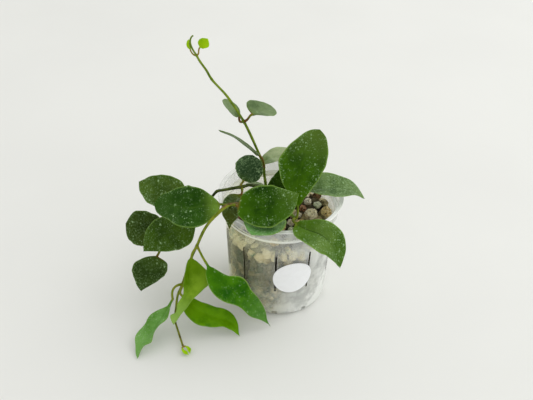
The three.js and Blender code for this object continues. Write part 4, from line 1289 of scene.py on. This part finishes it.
class HOYA_OT_stems(bpy.types.Operator):
    """Sweeps the stems, with swollen nodes and old leaf scars"""
    bl_idname = "hoya.stems"
    bl_label = "Stems"

    def execute(self, context):
        sides = 18
        for name, stem in STEMS.items():
            places, spans, radii = stem_shape(stem)
            along = tangents(places)
            side = np.array([1.0, 0, 0])
            vertices, age = [], []
            dice = random.Random(name)
            far = distances(places)
            marks = [(far[np.argmin(abs(spans - n))], NODE_SWELLING) for n in stem["nodes"]]
            marks += [(far[np.argmin(abs(spans - n))], SCAR_SWELLING) for n in stem["scars"]]
            bend = dice.uniform(0, 6)
            for i, centre in enumerate(places):
                side = carried(side, along[i])
                up = np.cross(along[i], side)
                # A swelling is a soft bulge, with a sharp ring a little before its middle
                swell = max([share * math.exp(-((far[i] - at) / 1.5) ** 2) for at, share in marks])
                ring = max([share * 0.35 * math.exp(-((far[i] - at + 1.6) / 0.35) ** 2)
                            for at, share in marks])
                radius = radii[i] * (1 + swell + ring)
                if i >= len(places) - 3:
                    radius *= (1.0, 0.85, 0.5)[i - len(places) + 3]
                for k in range(sides):
                    a = 2 * math.pi * k / sides
                    uneven = 1 + 0.05 * math.sin(2 * a + bend + 0.25 * far[i])
                    out = side * math.cos(a) + up * math.sin(a)
                    vertices.append(centre + radius * uneven * out)
                    old = max(0.0, 0.75 - 1.6 * far[i] / far[-1]) + 1.6 * swell
                    tanned = stem.get("tan", 0.0) * max(0.0, out[2]) ** 2
                    age.append(stem.get("bark", 1.0) * old + tanned)
            piece = mesh_object(name + "_skin", vertices, tube_faces(len(places), sides))
            outward_faces(piece)
            smooth_faces(piece, 60)
            store(piece, "age", age)
            finish_piece(piece, stem_finish(name + " skin", *stem["skin"]), "stem", name)
        return {"FINISHED"}


# ---- Leaves ----

def outline(leaf, t):
    """How wide the blade is at t, as a share of its widest."""
    belly = leaf["belly"]
    rise = np.clip(1 - (1 - t / belly) ** 2, 0, 1) ** 0.5
    past = np.clip(t - belly, 0, 1) / (1 - belly)
    fall = np.clip(1 - past ** 2, 0, 1) ** leaf["end"]
    return np.where(t < belly, rise, fall)


def half_width(leaf, listed, t):
    """Half the blade's width at t on one side, from its own list where it has one."""
    if not listed:
        return outline(leaf, t) * leaf["width"] / 2
    # The curve through a list runs even where shares are drawn out to a blade's length
    span = 36.0
    curve, _ = dense([(share * span, wide) for share, wide in ((0, 0), *listed, (1, 0))], 12)
    return np.clip(np.interp(t, curve[:, 0] / span, curve[:, 1]), 0, None)


def leaf_mesh(name, leaf, settings):
    """A closed leaf: a round stalk that starts in its stem and spreads into a fleshy blade."""
    dice = random.Random(name)
    stem = STEMS[leaf["stem"]]
    path = [np.array(p, float) for p in stem["path"]]
    at = leaf["node"]
    node = path[at]
    run = unit(path[min(at + 1, len(path) - 1)] - path[at - 1])
    rib, _ = dense(leaf["midrib"], 24)
    rib_shares = (1 - np.cos(np.pi * np.linspace(0, 1, settings.along + 1))) / 2
    rib = resample(rib, rib_shares)
    out = carried(rib[0] - node, run)
    # The stalk leaves the stem across it, starts inside it, and ends along the midrib
    first, last = stem["radii"]
    stem_radius = (first + (last - first) * at / (len(path) - 1)) * (1 + NODE_SWELLING)
    depth, handle = 0.55, 0.42
    start = node + out * (stem_radius - depth)
    reach = np.linalg.norm(rib[0] - start) * handle
    bow = np.array(leaf["bow"], float)
    stalk = bezier(start, start + out * reach + bow, rib[0] - unit(rib[1] - rib[0]) * reach + bow,
                   rib[0], STALK_STEPS + 1)[:-1]
    centres = np.vstack([stalk, rib])
    t = np.concatenate([np.zeros(STALK_STEPS), rib_shares])
    on_stalk = np.concatenate([np.linspace(1, 0, STALK_STEPS, endpoint=False),
                               np.zeros(len(rib))])
    # The middle of the blade looks along face, and the rest follows it without turning
    along = tangents(centres)
    middle = STALK_STEPS + settings.along // 2
    sides = np.zeros_like(centres)
    sides[middle] = unit(np.cross(np.array(leaf["face"], float), along[middle]))
    for i in range(middle + 1, len(centres)):
        sides[i] = carried(sides[i - 1], along[i])
    for i in range(middle - 1, -1, -1):
        sides[i] = carried(sides[i + 1], along[i])

    # A ring of points goes over the face from the left margin, and back underneath
    turns = np.pi * np.arange(settings.across) / (settings.across - 1)
    angle = np.concatenate([turns, -turns[-2:0:-1]])
    across = np.cos(turns)
    ring_x = np.concatenate([across, across[-2:0:-1]])
    ring_up = np.concatenate([np.ones(len(across)), -np.ones(len(across) - 2)])
    phases = [dice.uniform(0, 2 * math.pi) for _ in range(6)]
    left, right = (half_width(leaf, leaf[side], t) for side in ("left", "right"))
    widest = max(left.max(), right.max())
    vertices, marks = [], {"along": [], "across": [], "under": [], "stalk": []}
    for i, centre in enumerate(centres):
        turn = math.radians(leaf["twist"] * (t[i] - 0.5))
        side = np.array(Matrix.Rotation(turn, 3, Vector(along[i])) @ Vector(sides[i]))
        up = np.cross(along[i], side)
        # The stalk is thickest at the stem. least is its radius, or that of the blade's thin tip.
        flare = 1 + 0.45 * on_stalk[i] ** 6 + 0.1 * (1 - on_stalk[i]) ** 3
        least = settings.petiole * flare if t[i] < 0.5 else 0.16
        if leaf["look"] == "lime":
            least *= 0.62
        broad = max(left[i], right[i])
        share = broad / widest
        half = np.maximum(np.where(ring_x > 0, left[i], right[i]), least)
        # flat goes from 0 on the round stalk to 1 on the blade, and back to 0 at its very tip
        ratio = (broad / least - 1) / 3.2 if t[i] < 0.5 else broad / 0.9 - 0.2
        flat = float(smooth(ratio))
        ripple = leaf["wave"] * np.sin(2 * np.pi * WAVES * t[i] + np.where(ring_x > 0, 0, 2))
        lift = share * ring_x ** 2 * (leaf["cup"] + ripple)
        lift = lift + share * leaf["fold"] * (np.abs(ring_x) - 1)
        lift = lift + share * leaf["curl"] * np.clip(ring_x, 0, 1) ** 4
        drift = (math.sin(6.0 * t[i] + phases[0]) * ring_x * 0.30
                 + math.sin(9.0 * t[i] + phases[1]) * (ring_x ** 2 - 0.3) * 0.25
                 + np.sin(14.0 * t[i] + 3 * ring_x + phases[2]) * 0.10)
        lift = lift + drift * share * min(widest / 8, 1.2)
        reach_x = np.abs(ring_x) * half
        fade = max(0.0, 1 - t[i]) ** 0.6 * min(1, widest / 6)
        groove = leaf["groove"] * settings.groove * np.exp(-(reach_x / 1.1) ** 2) * fade
        veins = np.sin(2 * np.pi * (7 * t[i] - 1.6 * np.abs(ring_x))) * np.abs(ring_x) ** 0.7
        quilt = settings.quilt * veins * (1 - ring_x ** 6)
        body = (settings.thickness / 2) * (1 - 0.45 * np.abs(ring_x)) * np.sqrt(1 - ring_x ** 8)
        keel = settings.groove * 0.8 * np.exp(-(reach_x / 0.8) ** 2) * fade
        height = np.where(ring_up > 0, body + quilt, -body + quilt * 0.5 - keel) - groove
        uneven = 1 + 0.012 * np.sin(31 * t[i] + phases[3] + np.where(ring_x > 0, 0, 2.5))
        blade = (centre + np.outer(ring_x * half * uneven, side)
                 + np.outer(lift + height, up))
        round_ring = (centre + np.outer(np.cos(angle) * least, side)
                      + np.outer(np.sin(angle) * least, up))
        vertices.append(round_ring * (1 - flat) + blade * flat)
        marks["along"].append(np.full(len(ring_x), t[i]))
        marks["across"].append(np.abs(ring_x) * flat)
        marks["under"].append((ring_up < 0).astype(float) * flat)
        woody = 1 - float(smooth((t[i] - 0.005) / 0.05)) if on_stalk[i] == 0 else 1.0
        marks["stalk"].append(np.full(len(ring_x), woody))
    count = len(ring_x)
    piece = mesh_object(name + "_blade", np.vstack(vertices), tube_faces(len(centres), count))
    outward_faces(piece)
    smooth_faces(piece)
    for key, values in marks.items():
        store(piece, key, np.concatenate(values))
    return piece


class HOYA_OT_leaves(bpy.types.Operator):
    """Grows every leaf with its stalk"""
    bl_idname = "hoya.leaves"
    bl_label = "Leaves"

    def execute(self, context):
        finishes = {name: leaf_finish(name, look) for name, look in LOOKS.items()}
        for name, spec in LEAVES.items():
            leaf = {**LEAF_DEFAULTS, **spec}
            young = "young_leaf" if leaf["look"].startswith("young") else "leaf"
            slot = "bud" if leaf["look"] == "lime" else young
            piece = leaf_mesh(name, leaf, context.scene.hoya_leaf)
            finish_piece(piece, finishes[leaf["look"]], slot, name)
        return {"FINISHED"}


# ---- Stage ----

CAMERA = {"target": (-9, 41, 40), "distance": 525, "elevation": 37.4, "roll": 1.8, "lens": 49.98}
WINDOW = {"place": (1350, 500, 1480), "size": 1400}


def soft_sky(shade, bright):
    """An even sky that is brightest on the right."""
    world = bpy.data.worlds.new("soft light")
    world.use_nodes = True
    tree = world.node_tree
    where = tree.nodes.new("ShaderNodeTexCoord")
    towards = tree.nodes.new("ShaderNodeVectorMath")
    towards.operation = "DOT_PRODUCT"
    towards.inputs[1].default_value = Vector((0.85, 0.1, 0.5)).normalized()
    strength = tree.nodes.new("ShaderNodeMapRange")
    strength.interpolation_type = "SMOOTHSTEP"
    for key, value in (("From Min", -0.6), ("From Max", 0.9), ("To Min", shade), ("To Max", bright)):
        strength.inputs[key].default_value = value
    background = tree.nodes["Background"]
    background.inputs["Color"].default_value = (1.0, 1.0, 0.985, 1.0)
    tree.links.new(where.outputs["Generated"], towards.inputs[0])
    tree.links.new(towards.outputs["Value"], strength.inputs["Value"])
    tree.links.new(strength.outputs["Result"], background.inputs["Strength"])
    return world


class HOYA_OT_stage(bpy.types.Operator):
    """Sets the pale floor, the soft light and the camera"""
    bl_idname = "hoya.stage"
    bl_label = "Stage"

    def execute(self, context):
        stage, scene = context.scene.hoya_stage, context.scene
        reach = 2500
        corners = [(-reach, -reach, 0), (reach, -reach, 0), (reach, reach, 0), (-reach, reach, 0)]
        floor = mesh_object("floor", corners, [(0, 1, 2, 3)])
        floor.data.materials.append(floor_finish(tuple(stage.floor)))

        scene.world = soft_sky(stage.shade, stage.bright)
        lamp = bpy.data.lights.new("window", "AREA")
        lamp.energy, lamp.size = stage.key, WINDOW["size"] * MM
        light = bpy.data.objects.new("window", lamp)
        light.location = Vector(WINDOW["place"]) * MM
        light.rotation_euler = (-light.location).to_track_quat("-Z", "Y").to_euler()
        scene.collection.objects.link(light)

        lens = bpy.data.cameras.new("camera")
        lens.lens, lens.sensor_width = CAMERA["lens"], 36
        camera = bpy.data.objects.new("camera", lens)
        tilt = math.radians(CAMERA["elevation"])
        forward = Vector((0, math.cos(tilt), -math.sin(tilt)))
        camera.location = (Vector(CAMERA["target"]) - forward * CAMERA["distance"]) * MM
        turned = Matrix.Rotation(math.radians(CAMERA["roll"]), 3, "Z")
        upright = Matrix.Rotation(math.radians(90 - CAMERA["elevation"]), 3, "X")
        camera.rotation_euler = (upright @ turned).to_euler()
        scene.collection.objects.link(camera)
        scene.camera = camera
        scene.view_settings.view_transform = "Standard"
        return {"FINISHED"}


# ---- Panel and registration ----

class HOYA_PT_panel(bpy.types.Panel):
    bl_idname = "HOYA_PT_panel"
    bl_label = "Potted Hoya"
    bl_space_type = "VIEW_3D"
    bl_region_type = "UI"
    bl_category = "Hoya"

    def draw(self, context):
        for operator in OPERATORS:
            self.layout.operator(operator.bl_idname)


OPERATORS = (HOYA_OT_stage, HOYA_OT_pot, HOYA_OT_label, HOYA_OT_grit, HOYA_OT_pebbles,
             HOYA_OT_stems, HOYA_OT_leaves)
GROUPS = {"hoya_pot": HoyaPotSettings, "hoya_label": HoyaLabelSettings,
          "hoya_grit": HoyaGritSettings, "hoya_leaf": HoyaLeafSettings,
          "hoya_stage": HoyaStageSettings}


def register():
    for group in GROUPS.values():
        bpy.utils.register_class(group)
    for operator in OPERATORS:
        bpy.utils.register_class(operator)
    bpy.utils.register_class(HOYA_PT_panel)
    for name, group in GROUPS.items():
        setattr(bpy.types.Scene, name, bpy.props.PointerProperty(type=group))


def unregister():
    for name in GROUPS:
        delattr(bpy.types.Scene, name)
    bpy.utils.unregister_class(HOYA_PT_panel)
    for operator in reversed(OPERATORS):
        bpy.utils.unregister_class(operator)
    for group in GROUPS.values():
        bpy.utils.unregister_class(group)


def main():
    register()
    for operator in OPERATORS:
        group, name = operator.bl_idname.split(".")
        getattr(getattr(bpy.ops, group), name)()


if __name__ == "__main__":
    main()
